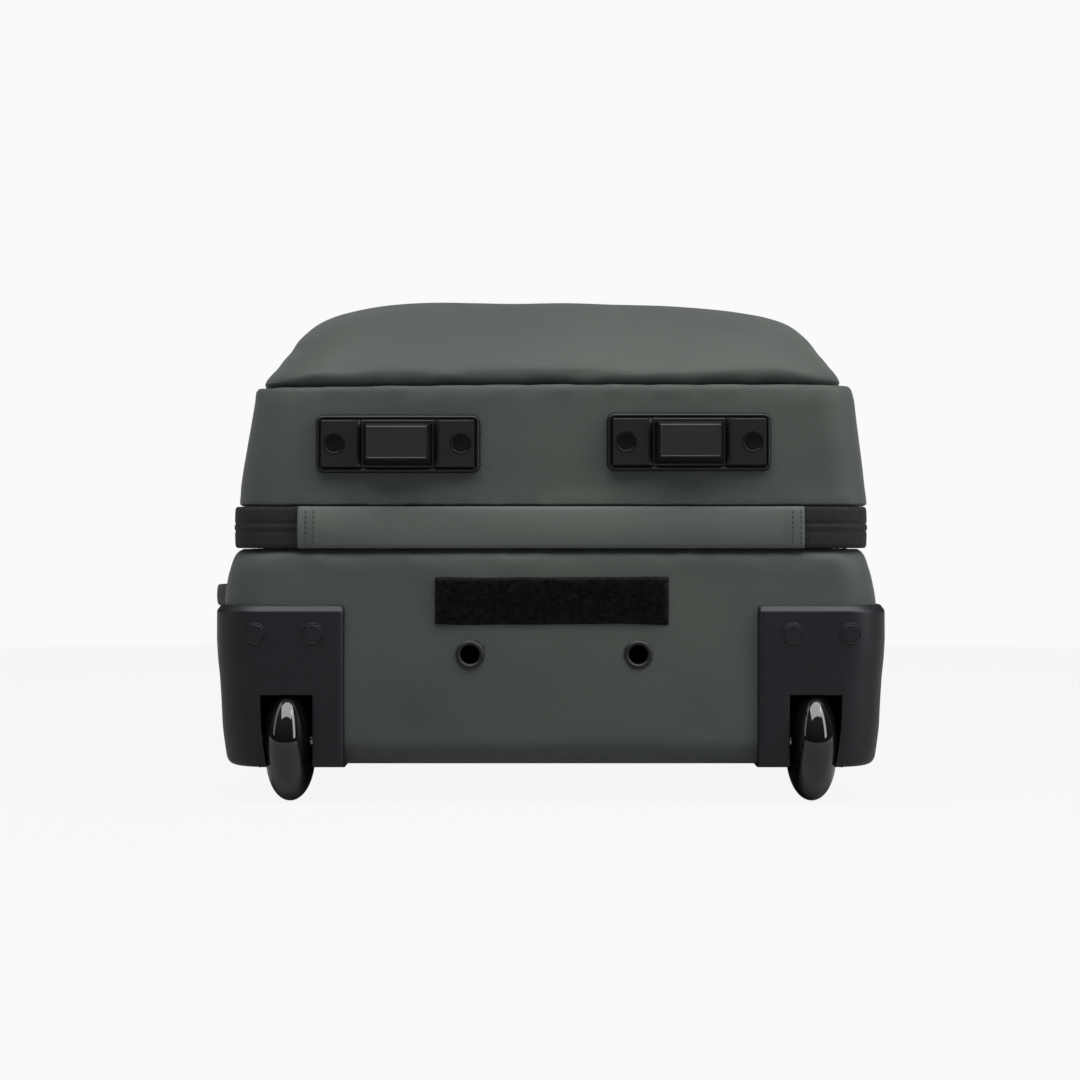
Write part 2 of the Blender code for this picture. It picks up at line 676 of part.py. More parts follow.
def make_cup():
    """The moulded cup in the top panel that the grip drops into, with a rim outside and holes for the tubes."""
    low, high = cup_outside()
    cup = add("handle_cup", box(low, high), "black_plastic")
    rim_low = (low.x - CUP_RIM, BODY_LENGTH + GAP, low.z - CUP_RIM / 2)
    rim_high = (high.x + CUP_RIM, BODY_LENGTH + GAP + CUP_RIM_THICKNESS, high.z + CUP_RIM)
    boolean(cup, add_cutter("join_cup_rim", box(rim_low, rim_high)), "UNION")
    wall = Vector((CUP_WALL, CUP_WALL, CUP_WALL))
    room_high = Vector((high.x - CUP_WALL, high.y + 2 * CUP_RIM, high.z - CUP_WALL))
    boolean(cup, add_cutter("cut_cup_room", box(low + wall, room_high)), "DIFFERENCE")
    middle = nested(OUTER_TUBE)
    for name, side in SIDES:
        half_x, half_z = middle[0] / 2 + TUBE_PLAY, middle[1] / 2 + TUBE_PLAY
        x = side * TUBE_X
        hole = box(
            (x - half_x, low.y - WALL, TUBE_CENTRE_Z - half_z), (x + half_x, CUP_FLOOR_Y + WALL, TUBE_CENTRE_Z + half_z)
        )
        boolean(cup, add_cutter(f"cut_tube_hole_{name}", hole), "DIFFERENCE")


def make_tubes():
    """Three tubes a side: the outer one stays in the bag, the middle and inner ones slide out of it."""
    middle, inner = nested(OUTER_TUBE), nested(nested(OUTER_TUBE))
    outer_high = CUP_FLOOR_Y - CUP_WALL - GAP
    middle_low = OUTER_TUBE_LOW_Y + MIDDLE_TUBE_LOW
    middle_high = CUP_FLOOR_Y + MIDDLE_TUBE_PROUD
    inner_low = OUTER_TUBE_LOW_Y + INNER_TUBE_LOW
    foot_half = TUBE_X + OUTER_TUBE[0] / 2 + TUBE_FOOT_MARGIN
    foot_rise = OUTER_TUBE[1] / 2
    foot_high = OUTER_TUBE_LOW_Y - GAP
    low = (-foot_half, foot_high - TUBE_FOOT_LENGTH, TUBE_CENTRE_Z - foot_rise)
    add("tube_foot", box(low, (foot_half, foot_high, TUBE_CENTRE_Z + foot_rise)), "black_plastic")
    for name, side in SIDES:
        place = (side * TUBE_X, 0, TUBE_CENTRE_Z)
        make_tube(f"outer_tube_{name}", OUTER_TUBE, OUTER_TUBE_LOW_Y, outer_high, place)
        make_tube(f"middle_tube_{name}", middle, middle_low, middle_high, place)
        make_tube(f"inner_tube_{name}", inner, inner_low, GRIP_LOW_Y - GAP, place)


def make_grip():
    """The moulded grip across both inner tubes, with a release button in its outer face."""
    high_y = BODY_LENGTH + GRIP_PROUD
    half_z = GRIP_HEIGHT / 2
    low = (-GRIP_HALF_LENGTH, GRIP_LOW_Y, TUBE_CENTRE_Z - half_z)
    grip_mesh = rounded_box(low, (GRIP_HALF_LENGTH, high_y, TUBE_CENTRE_Z + half_z), GRIP_HEIGHT * 0.22)
    grip = add("grip", grip_mesh, "black_plastic")
    half_x, half_button = BUTTON_SIZE[0] / 2, BUTTON_SIZE[1] / 2
    pocket = box(
        (-half_x - GAP, high_y - BUTTON_POCKET, TUBE_CENTRE_Z - half_button - GAP),
        (half_x + GAP, high_y + BUTTON_POCKET, TUBE_CENTRE_Z + half_button + GAP),
    )
    boolean(grip, add_cutter("cut_button_pocket", pocket), "DIFFERENCE")
    button = rounded_box(
        (-half_x, -BUTTON_DEPTH, -half_button), (half_x, BUTTON_PROUD, half_button), BUTTON_PROUD
    )
    add("grip_button", button, "black_plastic", (0, high_y, TUBE_CENTRE_Z))


# Back pad and shoulder straps


def make_back_pad():
    """The foam pad under spacer mesh that lies against the wearer's back."""
    low = (-PAD_HALF_WIDTH, PAD_LOW_Y, BACK_Z - GAP - PAD_THICKNESS)
    high = (PAD_HALF_WIDTH, PAD_HIGH_Y, BACK_Z - GAP)
    add("back_pad", rounded_box(low, high, PAD_THICKNESS * 0.3), "air_mesh")


def strap_section(x, y, z_low, width, thickness):
    """A flattened eight-sided ring across a strap that runs along Y."""
    half, edge = width / 2, thickness * 0.3
    z_high = z_low + thickness
    return [
        (x - half, y, z_low + edge),
        (x - half + edge, y, z_low),
        (x + half - edge, y, z_low),
        (x + half, y, z_low + edge),
        (x + half, y, z_high - edge),
        (x + half - edge, y, z_high),
        (x - half + edge, y, z_high),
        (x - half, y, z_high - edge),
    ]


def strap_x(y):
    """The middle line of a shoulder strap, which runs outwards towards the base."""
    share = (STRAP_TOP_Y - y) / (STRAP_TOP_Y - STRAP_LOW_Y)
    return STRAP_TOP_X + (STRAP_LOW_X - STRAP_TOP_X) * share


def make_straps():
    """Padded straps lie flat between pad and floor. Their tops are sewn to the back panel above the pad."""
    flat_length = STRAP_FLAT_Y - STRAP_LOW_Y
    top_length = STRAP_TOP_Y - STRAP_FLAT_Y
    rows = (
        # y, rise of the lower face as a share of the drop, width, thickness as a share
        (STRAP_LOW_Y, 0.10, STRAP_END_WIDTH, 0.55),
        (STRAP_LOW_Y + 0.06 * flat_length, 0.00, STRAP_END_WIDTH, 0.90),
        (STRAP_LOW_Y + 0.30 * flat_length, 0.00, STRAP_WIDTH, 1.00),
        (STRAP_FLAT_Y, 0.00, STRAP_WIDTH, 1.00),
        (STRAP_FLAT_Y + 0.45 * top_length, 0.05, STRAP_WIDTH, 0.90),
        (STRAP_FLAT_Y + 0.75 * top_length, 0.45, STRAP_WIDTH, 0.60),
        (STRAP_TOP_Y, 1 - (0.25 * STRAP_THICKNESS + GAP) / WHEEL_DROP, STRAP_WIDTH, 0.25),
    )
    for name, side in SIDES:
        rings = [
            strap_section(strap_x(y), y, rise * WHEEL_DROP, width, share * STRAP_THICKNESS)
            for y, rise, width, share in rows
        ]
        add(f"shoulder_strap_{name}", sided(loft(rings), side), "air_mesh")
        make_adjuster(name, side)
        make_webbing(name, side)


def adjuster_z():
    """The adjuster lies level with the strap's thin lower end."""
    return 0.10 * WHEEL_DROP + 0.55 * STRAP_THICKNESS / 2


def make_adjuster(name, side):
    """The moulded ladder buckle between strap and webbing, with two slots."""
    high_y = STRAP_LOW_Y - GAP
    low_y = high_y - ADJUSTER_LENGTH
    x, z, rise = STRAP_LOW_X, adjuster_z(), ADJUSTER_THICKNESS / 2
    half = ADJUSTER_WIDTH / 2
    frame = add(
        f"strap_adjuster_{name}",
        sided(rounded_box((x - half, low_y, z - rise), (x + half, high_y, z + rise), rise * 0.4), side),
        "black_plastic",
    )
    slot_half, slot = WEBBING_WIDTH / 2, ADJUSTER_LENGTH * 0.14
    for i, share in enumerate((0.30, 0.70)):
        y = low_y + share * ADJUSTER_LENGTH
        cut = box((x - slot_half, y - slot / 2, z - 2 * rise), (x + slot_half, y + slot / 2, z + 2 * rise))
        boolean(frame, add_cutter(f"cut_adjuster_{name}_{i}", sided(cut, side)), "DIFFERENCE")


def make_webbing(name, side):
    """The flat webbing from the adjuster to where it is sewn to the back panel beside the wheel housing."""
    start_y = STRAP_LOW_Y - 2 * GAP - ADJUSTER_LENGTH
    start_z = adjuster_z()
    end_z = BACK_Z - GAP - WEBBING_THICKNESS
    rise_y, sewn_y = PAD_LOW_Y + WEBBING_SEWN / 2, WEBBING_END_Y + WEBBING_SEWN
    steps = 6
    rows = [(start_y, start_z)]
    for i in range(steps + 1):
        t = i / steps
        rows.append((rise_y + (sewn_y - rise_y) * t, start_z + (end_z - start_z) * t * t * (3 - 2 * t)))
    rows.append((WEBBING_END_Y, end_z))
    points = [
        (WEBBING_END_X + (STRAP_LOW_X - WEBBING_END_X) * (y - WEBBING_END_Y) / (start_y - WEBBING_END_Y), y, z)
        for y, z in rows
    ]
    mesh = ribbon(points, (1, 0, 0), [WEBBING_WIDTH] * len(points), WEBBING_THICKNESS)
    add(f"strap_webbing_{name}", sided(mesh, side), "black_webbing")


# Carrying handles and zips


def arch(half_length, rise):
    """Points (along, height) of a handle that is sewn flat at both ends and stands up between them."""
    steps = 16
    flat = 0.82
    points = []
    for i in range(steps + 1):
        t = -1 + 2 * i / steps
        inside = min(1.0, abs(t) / flat)
        points.append((half_length * t, rise * (0.5 + 0.5 * math.cos(math.pi * inside))))
    return points


def make_handles():
    """Webbing handles: a wide one on the top panel, and a folded one on the left side of the back section."""
    z = MAIN_Z + GRAB_Z_SHARE * MAIN_DEPTH
    points = [(-along, BODY_LENGTH + GAP + height, z) for along, height in arch(GRAB_HALF_LENGTH, GRAB_ARCH)]
    add("grab_handle", ribbon(points, (0, 0, -1), [GRAB_WIDTH] * len(points), -GRAB_THICKNESS), "black_webbing")
    z = BACK_Z + SIDE_Z_SHARE * BACK_DEPTH
    rises = arch(SIDE_HALF_LENGTH, SIDE_ARCH)
    points = [(-HALF_WIDTH - GAP - height, SIDE_MIDDLE_Y + along, z) for along, height in rises]
    widths = [
        SIDE_END_WIDTH + (SIDE_GRIP_WIDTH - SIDE_END_WIDTH) * min(1.0, 2 * height / SIDE_ARCH) for _, height in rises
    ]
    add("side_handle", ribbon(points, (0, 0, 1), widths, -SIDE_THICKNESS), "black_webbing")


def make_main_sliders():
    """Two zip sliders that meet at the middle of the top, each with a pull that hangs down."""
    width, depth, height = SLIDER_SIZE
    z = BAND_Z + BAND_DEPTH / 2
    low_y = BODY_LENGTH + GAP
    pull_width, pull_depth, pull_length = PULL_SIZE
    pull_y = low_y + depth - pull_depth
    pull_high = z - height / 2 - GAP
    for name, side in SIDES:
        x = side * SLIDER_X
        slider = rounded_box(
            (x - width / 2, low_y, z - height / 2), (x + width / 2, low_y + depth, z + height / 2), depth * 0.2
        )
        add(f"zip_slider_{name}", slider, "black_metal")
        pull = rounded_box(
            (x - pull_width / 2, pull_y, pull_high - pull_length),
            (x + pull_width / 2, pull_y + pull_depth, pull_high),
            pull_depth * 0.25,
        )
        add(f"zip_pull_{name}", pull, "black_plastic")


def pocket_face():
    """Half the pocket's front seen along the bag, as (x, z) from the middle out."""
    rows = [(HALF_WIDTH * width, POCKET_Z + height * POCKET_DEPTH) for height, width, _, _ in POCKET_SECTIONS]
    return [(0.0, rows[-1][1])] + rows[::-1]


def pocket_z(x):
    """Height of the pocket's front over x, away from its sloping ends."""
    face = pocket_face()
    for (x0, z0), (x1, z1) in zip(face, face[1:]):
        if abs(x) <= x1:
            return z0 + (z1 - z0) * (abs(x) - x0) / (x1 - x0)
    return face[-1][1]


def make_front_zip():
    """The zip across the front pocket near its top, which follows the dome, with one slider and pull."""
    y = BODY_LENGTH * FRONT_ZIP_Y_SHARE
    bends = [x for x, _ in pocket_face() if 0 < x < FRONT_ZIP_HALF]
    stops = sorted({-FRONT_ZIP_HALF, FRONT_ZIP_HALF, *bends, *(-x for x in bends)})
    lift = 1.5 * GAP
    half = FRONT_ZIP_WIDTH / 2
    rings = []
    for x in stops:
        low = pocket_z(x) + lift
        high = low + FRONT_ZIP_THICKNESS
        rings.append([(x, y - half, low), (x, y + half, low), (x, y + half, high), (x, y - half, high)])
    add("front_zip", loft(rings), "black_webbing")
    width, depth, height = SLIDER_SIZE
    x = FRONT_SLIDER_X
    inner_x = x - height / 2
    low = pocket_z(inner_x) + lift + FRONT_ZIP_THICKNESS + GAP
    slider = rounded_box((inner_x, y - width / 2, low), (x + height / 2, y + width / 2, low + depth), depth * 0.2)
    add("front_zip_slider", slider, "black_metal")
    pull_width, pull_depth, pull_length = PULL_SIZE
    pull_x = inner_x - GAP
    pull_z = max(low + depth - pull_depth, pocket_z(0) + lift + FRONT_ZIP_THICKNESS + GAP)
    pull = rounded_box(
        (pull_x - pull_length, y - pull_width / 2, pull_z),
        (pull_x, y + pull_width / 2, pull_z + pull_depth),
        pull_depth * 0.25,
    )
    add("front_zip_pull", pull, "black_plastic")


# The whole bag

for old in list(bpy.data.objects):
    bpy.data.objects.remove(old, do_unlink=True)

BAG = bpy.data.objects.new("bag", None)
BAG.location = (
    (SIDE_REACH - HALF_WIDTH - HOUSING_PROUD) / 2,
    (WHEEL_STANDOFF - GRAB_REACH) / 2,
    0,
)
bpy.context.scene.collection.objects.link(BAG)
PAINT = make_materials()

make_back_shell()
make_band()
make_main_body()
make_front_pocket()
make_patch()
make_eyelets()
make_feet()
make_housings()
make_wheels()
make_cup()
make_tubes()
make_grip()
make_back_pad()
make_straps()
make_handles()
make_main_sliders()
make_front_zip()
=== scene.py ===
"""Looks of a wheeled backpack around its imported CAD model. It lies on its back, base end to the camera."""

import bmesh
import bpy
import numpy as np
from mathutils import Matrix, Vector


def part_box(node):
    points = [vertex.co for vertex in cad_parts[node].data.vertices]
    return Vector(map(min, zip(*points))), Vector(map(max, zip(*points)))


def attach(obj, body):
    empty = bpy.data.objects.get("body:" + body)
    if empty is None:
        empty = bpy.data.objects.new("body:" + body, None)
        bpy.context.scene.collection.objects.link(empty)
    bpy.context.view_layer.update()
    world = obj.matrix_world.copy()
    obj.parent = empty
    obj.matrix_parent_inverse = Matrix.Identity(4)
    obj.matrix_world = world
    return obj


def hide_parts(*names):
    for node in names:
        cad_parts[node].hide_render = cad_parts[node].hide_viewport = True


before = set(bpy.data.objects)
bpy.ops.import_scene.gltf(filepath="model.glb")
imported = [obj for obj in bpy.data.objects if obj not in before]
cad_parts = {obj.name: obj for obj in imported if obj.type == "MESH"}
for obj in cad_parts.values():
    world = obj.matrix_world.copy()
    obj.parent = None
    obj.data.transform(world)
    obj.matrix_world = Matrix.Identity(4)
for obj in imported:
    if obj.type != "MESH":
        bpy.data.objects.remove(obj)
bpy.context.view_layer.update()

# ---- Camera, floor and light ----
# The photograph looks level along the bag from about 1.1 m in front of its base panel, from 139 mm above
# the floor. Studio: a pale floor, a softbox above and in front, a tall one at each side, and little light
# from elsewhere.

# The bag's own frame: x = 0 on its mirror plane, y = 0 at its base panel, z = 0 on the floor
low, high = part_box("loop_patch")
BAG_X = (low.x + high.x) / 2
BAG_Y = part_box("main_body")[0].y


def linear(hex_colour):
    """The linear colour of an sRGB hex value."""
    c = np.array([int(hex_colour[i:i + 2], 16) for i in (1, 3, 5)]) / 255
    return (*np.where(c <= 0.04045, c / 12.92, ((c + 0.055) / 1.055) ** 2.4), 1.0)


def add_node(tree, kind, links=(), **settings):
    """Adds a shader node. A setting named like a socket fills it, any other is the node's own, and links
    joins (output socket, input name) pairs to it."""
    node = tree.nodes.new("ShaderNode" + kind)
    for key, value in settings.items():
        name = key.replace("_", " ")
        socket = next((s for s in node.inputs if s.name.lower() == name.lower() and s.enabled), None)
        if socket is not None and not hasattr(node, key):
            socket.default_value = value
        else:
            setattr(node, key, value)
    for out, into in links:
        if not isinstance(into, int):
            into = next(i for i, s in enumerate(node.inputs) if s.name == into and s.enabled)
        tree.links.new(out, node.inputs[into])
    return node


def new_material(name, **shader):
    """A material with only its Principled shader, whose sockets are named with underscores."""
    m = bpy.data.materials.new(name)
    m.use_nodes = True
    m.node_tree.nodes.clear()
    bsdf = add_node(m.node_tree, "BsdfPrincipled", **shader)
    add_node(m.node_tree, "OutputMaterial", [(bsdf.outputs[0], "Surface")])
    return m, m.node_tree, bsdf


scene = bpy.context.scene


def add_object(name, data):
    """A new object in the scene."""
    obj = bpy.data.objects.new(name, data)
    scene.collection.objects.link(obj)
    return obj


def area_light(name, place, target, size, power):
    """A rectangular lamp of size (width, height) at a place, turned to the target."""
    light = bpy.data.lights.new(name, "AREA")
    light.shape = "RECTANGLE"
    light.size, light.size_y = size
    light.energy = power
    obj = add_object(name, light)
    obj.location = place
    aim = np.array(target, float) - np.array(place, float)
    obj.rotation_euler = Vector(aim).to_track_quat("-Z", "Y").to_euler()


camera = bpy.data.cameras.new("camera")
camera.sensor_width = 36
camera.lens = 69.8
camera_object = add_object("camera", camera)
CAMERA_DISTANCE, CAMERA_HEIGHT = 1.100, 0.1389
camera_object.location = (BAG_X - 0.0058, BAG_Y - CAMERA_DISTANCE, CAMERA_HEIGHT)
camera_object.rotation_euler = (np.pi / 2, 0, 0)
scene.camera = camera_object
scene.view_settings.view_transform = "Standard"

base_end = (BAG_X, BAG_Y, 0.10)
area_light("softbox_above", (BAG_X + 0.05, BAG_Y - 0.56, 1.34), base_end, (2.1, 0.8), 39)
area_light("panel_left", (BAG_X - 1.20, BAG_Y - 0.05, 0.75), base_end, (0.25, 1.3), 2)
area_light("panel_right", (BAG_X + 1.15, BAG_Y - 0.45, 0.75), base_end, (0.35, 1.3), 11)

world = bpy.data.worlds.new("studio")
scene.world = world
world.use_nodes = True
world.node_tree.nodes.clear()
BACKDROP = (0.955, 0.955, 0.955, 1)
path = add_node(world.node_tree, "LightPath")
seen = add_node(world.node_tree, "Background", Color=BACKDROP)
# What the object is lit by and mirrors: a dark room with a lighter ceiling
direction = add_node(world.node_tree, "TexCoord")
parts = add_node(world.node_tree, "SeparateXYZ", [(direction.outputs["Generated"], 0)])
height = add_node(
    world.node_tree, "MapRange", [(parts.outputs[2], "Value")],
    From_Min=0.1, From_Max=1.0, To_Min=0.05, To_Max=0.32,
)
felt = add_node(world.node_tree, "Background", [(height.outputs[0], "Color")])
mix = add_node(
    world.node_tree, "MixShader",
    [(path.outputs["Is Camera Ray"], 0), (felt.outputs[0], 1), (seen.outputs[0], 2)],
)
add_node(world.node_tree, "OutputWorld", [(mix.outputs[0], "Surface")])

bpy.ops.mesh.primitive_plane_add(size=60, location=(0, 0, 0))
floor = bpy.context.object
floor.name = "floor"
# The paint near the bag, and further off the same pale tone as the backdrop, so that no horizon shows
material, tree, bsdf = new_material("painted studio floor", Base_Color=(0.36, 0.36, 0.36, 1), Roughness=0.9)
place = add_node(tree, "TexCoord")
away = add_node(tree, "VectorMath", [(place.outputs["Object"], 0)], operation="LENGTH")
far = add_node(
    tree, "MapRange", [(away.outputs["Value"], "Value")],
    interpolation_type="SMOOTHSTEP", From_Min=0.40, From_Max=1.60,
)
glow = add_node(tree, "Emission", Color=BACKDROP)
out = next(n for n in tree.nodes if n.type == "OUTPUT_MATERIAL")
near = add_node(tree, "LightPath")
lift = add_node(tree, "Math", [(near.outputs["Is Camera Ray"], 0)], operation="MULTIPLY")
lift.inputs[1].default_value = 0.95
most = add_node(tree, "Math", [(far.outputs[0], 0), (lift.outputs[0], 1)], operation="MAXIMUM")
add = add_node(tree, "MixShader", [(most.outputs[0], 0), (bsdf.outputs[0], 1), (glow.outputs[0], 2)])
tree.links.new(add.outputs[0], out.inputs["Surface"])
floor.data.materials.append(material)


# ---- Back section ----
# The deep tray at the back of the bag that holds the pull handle, of coated polyester twill over thin foam.
# It is one base-and-sides panel sewn to a back panel, and its front edge is turned in where it meets the
# band.

WALL = 0.0015  # fabric with its lining


def along(rows, count):
    """count rows evenly spaced by length on a smooth curve through rows: cubic Hermite pieces whose slopes
    are the chords from the row before to the row after. The first two columns give the length."""
    rows = np.array(rows, float)
    slope = np.gradient(rows, axis=0)
    t = np.linspace(0, len(rows) - 1, 40 * len(rows))
    i = np.minimum(t.astype(int), len(rows) - 2)
    f = (t - i)[:, None]
    fine = (
        (2 * f**3 - 3 * f**2 + 1) * rows[i] + (f**3 - 2 * f**2 + f) * slope[i]
        + (3 * f**2 - 2 * f**3) * rows[i + 1] + (f**3 - f**2) * slope[i + 1]
    )
    length = np.r_[0, np.cumsum(np.linalg.norm(np.diff(fine[:, :2], axis=0), axis=1))]
    at = np.linspace(0, length[-1], count)
    return np.stack([np.interp(at, length, column) for column in fine.T], axis=1)


def grid(*parts):
    """Arrays that broadcast to one grid, as the parts of its last axis."""
    return np.stack(np.broadcast_arrays(*parts), axis=2)


def rings(z, half, low, high, base_r, top_r, step=0.0032):
    """One rounded rectangle for each level, as a grid of points (levels, around, 3): base edge, corner,
    side, corner, top edge and back down the other side, with the seam at the middle of the top. Straights
    are evenly divided and corners are quarter circles. Also the length around the widest ring, for the
    weave."""
    z, half, low, high, base_r, top_r = (
        np.atleast_1d(np.asarray(a, float))[:, None]
        for a in np.broadcast_arrays(z, half, low, high, base_r, top_r)
    )
    w, d = half.max(), (high - low).max()
    rb, rt = base_r.max(), top_r.max()

    def share(length):
        return np.linspace(0, 1, max(4, int(length / step)) + 1)[None, :]

    def arc(cx, cy, r, start, length):
        a = start + share(length * 1.3) * np.pi / 2
        return cx + r * np.cos(a), cy + r * np.sin(a)

    def line(x0, y0, x1, y1, length):
        f = share(length)
        return x0 + (x1 - x0) * f, y0 + (y1 - y0) * f

    parts = [
        line(0 * half, high, -(half - top_r), high, w - rt),
        arc(-(half - top_r), high - top_r, top_r, np.pi / 2, rt * 1.57),
        line(-half, high - top_r, -half, low + base_r, d - rb - rt),
        arc(-(half - base_r), low + base_r, base_r, np.pi, rb * 1.57),
        line(-(half - base_r), low, half - base_r, low, 2 * (w - rb)),
        arc(half - base_r, low + base_r, base_r, 1.5 * np.pi, rb * 1.57),
        line(half, low + base_r, half, high - top_r, d - rb - rt),
        arc(half - top_r, high - top_r, top_r, 0, rt * 1.57),
        line(half - top_r, high, 0 * half, high, w - rt),
    ]
    x = np.concatenate([p[0][:, 1:] if i else p[0] for i, p in enumerate(parts)], axis=1)
    y = np.concatenate([p[1][:, 1:] if i else p[1] for i, p in enumerate(parts)], axis=1)
    p = np.stack([x, y, np.broadcast_to(z, x.shape)], axis=2)
    widest = p[half[:, 0].argmax()]
    u = np.r_[0, np.cumsum(np.linalg.norm(np.diff(widest, axis=0), axis=1))]
    return p, u


def lengths(p):
    """Distance travelled down the middle of the base edge from the first ring on."""
    column = p[:, p.shape[1] // 2]
    return np.r_[0, np.cumsum(np.linalg.norm(np.diff(column, axis=0), axis=1))]


def weave(p, u):
    """UV of a wall of rings, in metres: the length around the widest ring, and down the wall."""
    return grid(u[None], lengths(p)[:, None])


def outward(p):
    """Unit normals of a grid, from the cross product of its two directions."""
    n = np.cross(np.gradient(p, axis=1), np.gradient(p, axis=0))
    return n / np.maximum(np.linalg.norm(n, axis=2, keepdims=True), 1e-12)


def waves(p, seed, wavelength, count=9):
    """Smooth random heights between about -1 and 1: a mean of sine waves of that length in random
    directions."""
    rng = np.random.default_rng(seed)
    k = rng.normal(size=(count, 3))
    k *= (2 * np.pi / wavelength / np.linalg.norm(k, axis=1) * rng.uniform(0.7, 1.4, count))[:, None]
    return np.sin(p @ k.T + rng.uniform(0, 2 * np.pi, count)).mean(axis=-1) * 2


def bump(x, middle, width):
    """A bell curve."""
    return np.exp(-(((x - middle) / width) ** 2))


def put(name, patches, material, body="bag", *, replaces=(), wall=0):
    """Makes a piece from grids of points in the bag's frame. A patch is (points, uv, keep): uv in metres
    and keep the faces that stay, both may be None. Rows run so that the faces look outwards. Seams close
    where points meet."""
    verts, faces, uvs, count = [], [], [], 0
    for p, uv, keep in patches:
        m, n = p.shape[:2]
        i = np.arange(m * n).reshape(m, n)
        quads = np.stack([i[:-1, :-1], i[:-1, 1:], i[1:, 1:], i[1:, :-1]], axis=2)
        quads = quads[keep] if keep is not None else quads.reshape(-1, 4)
        verts.append(p.reshape(-1, 3))
        faces.append(quads.reshape(-1, 4) + count)
        uvs.append((np.zeros((m, n, 2)) if uv is None else uv).reshape(-1, 2))
        count += m * n
    verts = np.concatenate(verts) + (BAG_X, BAG_Y, 0)
    faces = np.concatenate(faces)
    uvs = np.concatenate(uvs)
    mesh = bpy.data.meshes.new(name)
    mesh.vertices.add(len(verts))
    mesh.vertices.foreach_set("co", verts.ravel())
    mesh.loops.add(faces.size)
    mesh.loops.foreach_set("vertex_index", faces.ravel())
    mesh.polygons.add(len(faces))
    mesh.polygons.foreach_set("loop_start", np.arange(0, faces.size, 4))
    mesh.update(calc_edges=True)
    mesh.uv_layers.new(name="weave").data.foreach_set("uv", uvs[faces.ravel()].ravel())
    tidy = bmesh.new()
    tidy.from_mesh(mesh)
    bmesh.ops.remove_doubles(tidy, verts=tidy.verts, dist=2e-6)
    bmesh.ops.delete(tidy, geom=[v for v in tidy.verts if not v.link_faces], context="VERTS")
    bmesh.ops.recalc_face_normals(tidy, faces=tidy.faces)
    tidy.to_mesh(mesh)
    tidy.free()
    mesh.shade_smooth()
    mesh.set_sharp_from_angle(angle=np.radians(40))
    obj = add_object(name, mesh)
    obj.data.materials.append(material)
    if wall:
        modifier = obj.modifiers.new("wall", "SOLIDIFY")
        modifier.thickness = wall
        modifier.offset = -1
    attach(obj, body)
    if replaces:
        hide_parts(*replaces)
    return obj


def noise(tree, scale, detail, roughness=0.5):
    """Fractal noise on the object's own coordinates."""
    place = add_node(tree, "TexCoord")
    vector = [(place.outputs["Object"], "Vector")]
    return add_node(tree, "TexNoise", vector, Scale=scale, Detail=detail, Roughness=roughness).outputs[0]


def ramp(tree, value, *stops):
    """The colour at a value between two stops, each a position and a linear colour."""
    node = add_node(tree, "ValToRGB", [(value, 0)])
    for end, (position, colour) in zip(node.color_ramp.elements, stops):
        end.position, end.color = position, colour
    return node.outputs[0]


def emboss(tree, bsdf, height, strength, distance):
    """Tilts the shader's normals as if its surface had that height, an output socket, times the
    distance."""
    relief = add_node(tree, "Bump", [(height, "Height")], Strength=strength, Distance=distance)
    tree.links.new(relief.outputs[0], bsdf.inputs["Normal"])


def twill(name, colour, pitch=0.0011, depth=0.00007):
    """Coated polyester twill: its floats, drawn about 1 mm apart, lie in ribs along one diagonal and in
    steps along the other, under a thin matt coating that evens them out. Dust and handling vary the tone by
    a few percent."""
    m, t, bsdf = new_material(
        name, Roughness=0.58, Specular_IOR_Level=0.22, Sheen_Weight=0.10, Sheen_Roughness=0.45
    )
    uv = add_node(t, "UVMap", uv_map="weave")
    lie = {"bands_direction": "DIAGONAL", "Scale": 0.444 / pitch, "Detail": 1.0, "Detail_Scale": 400.0}
    ribs = add_node(t, "TexWave", [(uv.outputs[0], "Vector")], Distortion=0.6, **lie)
    cross = add_node(t, "TexNoise", [(uv.outputs[0], "Vector")], Scale=900.0, Detail=2.0)
    rgb = np.array(linear(colour))
    darker, paler = rgb * (0.93, 0.92, 0.93, 1), rgb * (1.06, 1.07, 1.05, 1)
    tone = ramp(t, noise(t, 9.0, 3.0, 0.55), (0.3, darker), (0.7, paler))
    grain = add_node(t, "MapRange", From_Max=2.0, To_Min=0.95, To_Max=1.06)
    shade = add_node(
        t, "Mix", [(tone, "A"), (grain.outputs[0], "B")],
        data_type="RGBA", blend_type="MULTIPLY", Factor=1.0,
    )
    t.links.new(next(s for s in shade.outputs if s.enabled), bsdf.inputs["Base Color"])
    mirrored = add_node(t, "VectorMath", [(uv.outputs[0], 0)], operation="MULTIPLY")
    mirrored.inputs[1].default_value = (1, -1, 1)
    steps = add_node(t, "TexWave", [(mirrored.outputs[0], "Vector")], Distortion=0.8, **lie)
    floats = add_node(t, "Math", [(ribs.outputs[1], 0), (steps.outputs[1], 1)], operation="ADD")
    t.links.new(floats.outputs[0], grain.inputs["Value"])
    height = add_node(t, "Math", [(floats.outputs[0], 0), (cross.outputs[0], 1)], operation="ADD")
    emboss(t, bsdf, height.outputs[0], 0.4, depth)
    return m


fabric = twill("coated polyester twill", "#363B37")

BODY_LENGTH = 0.515
HALF_WIDTH = 0.175
BACK_Z = 0.0205
BACK_DEPTH = 0.1137
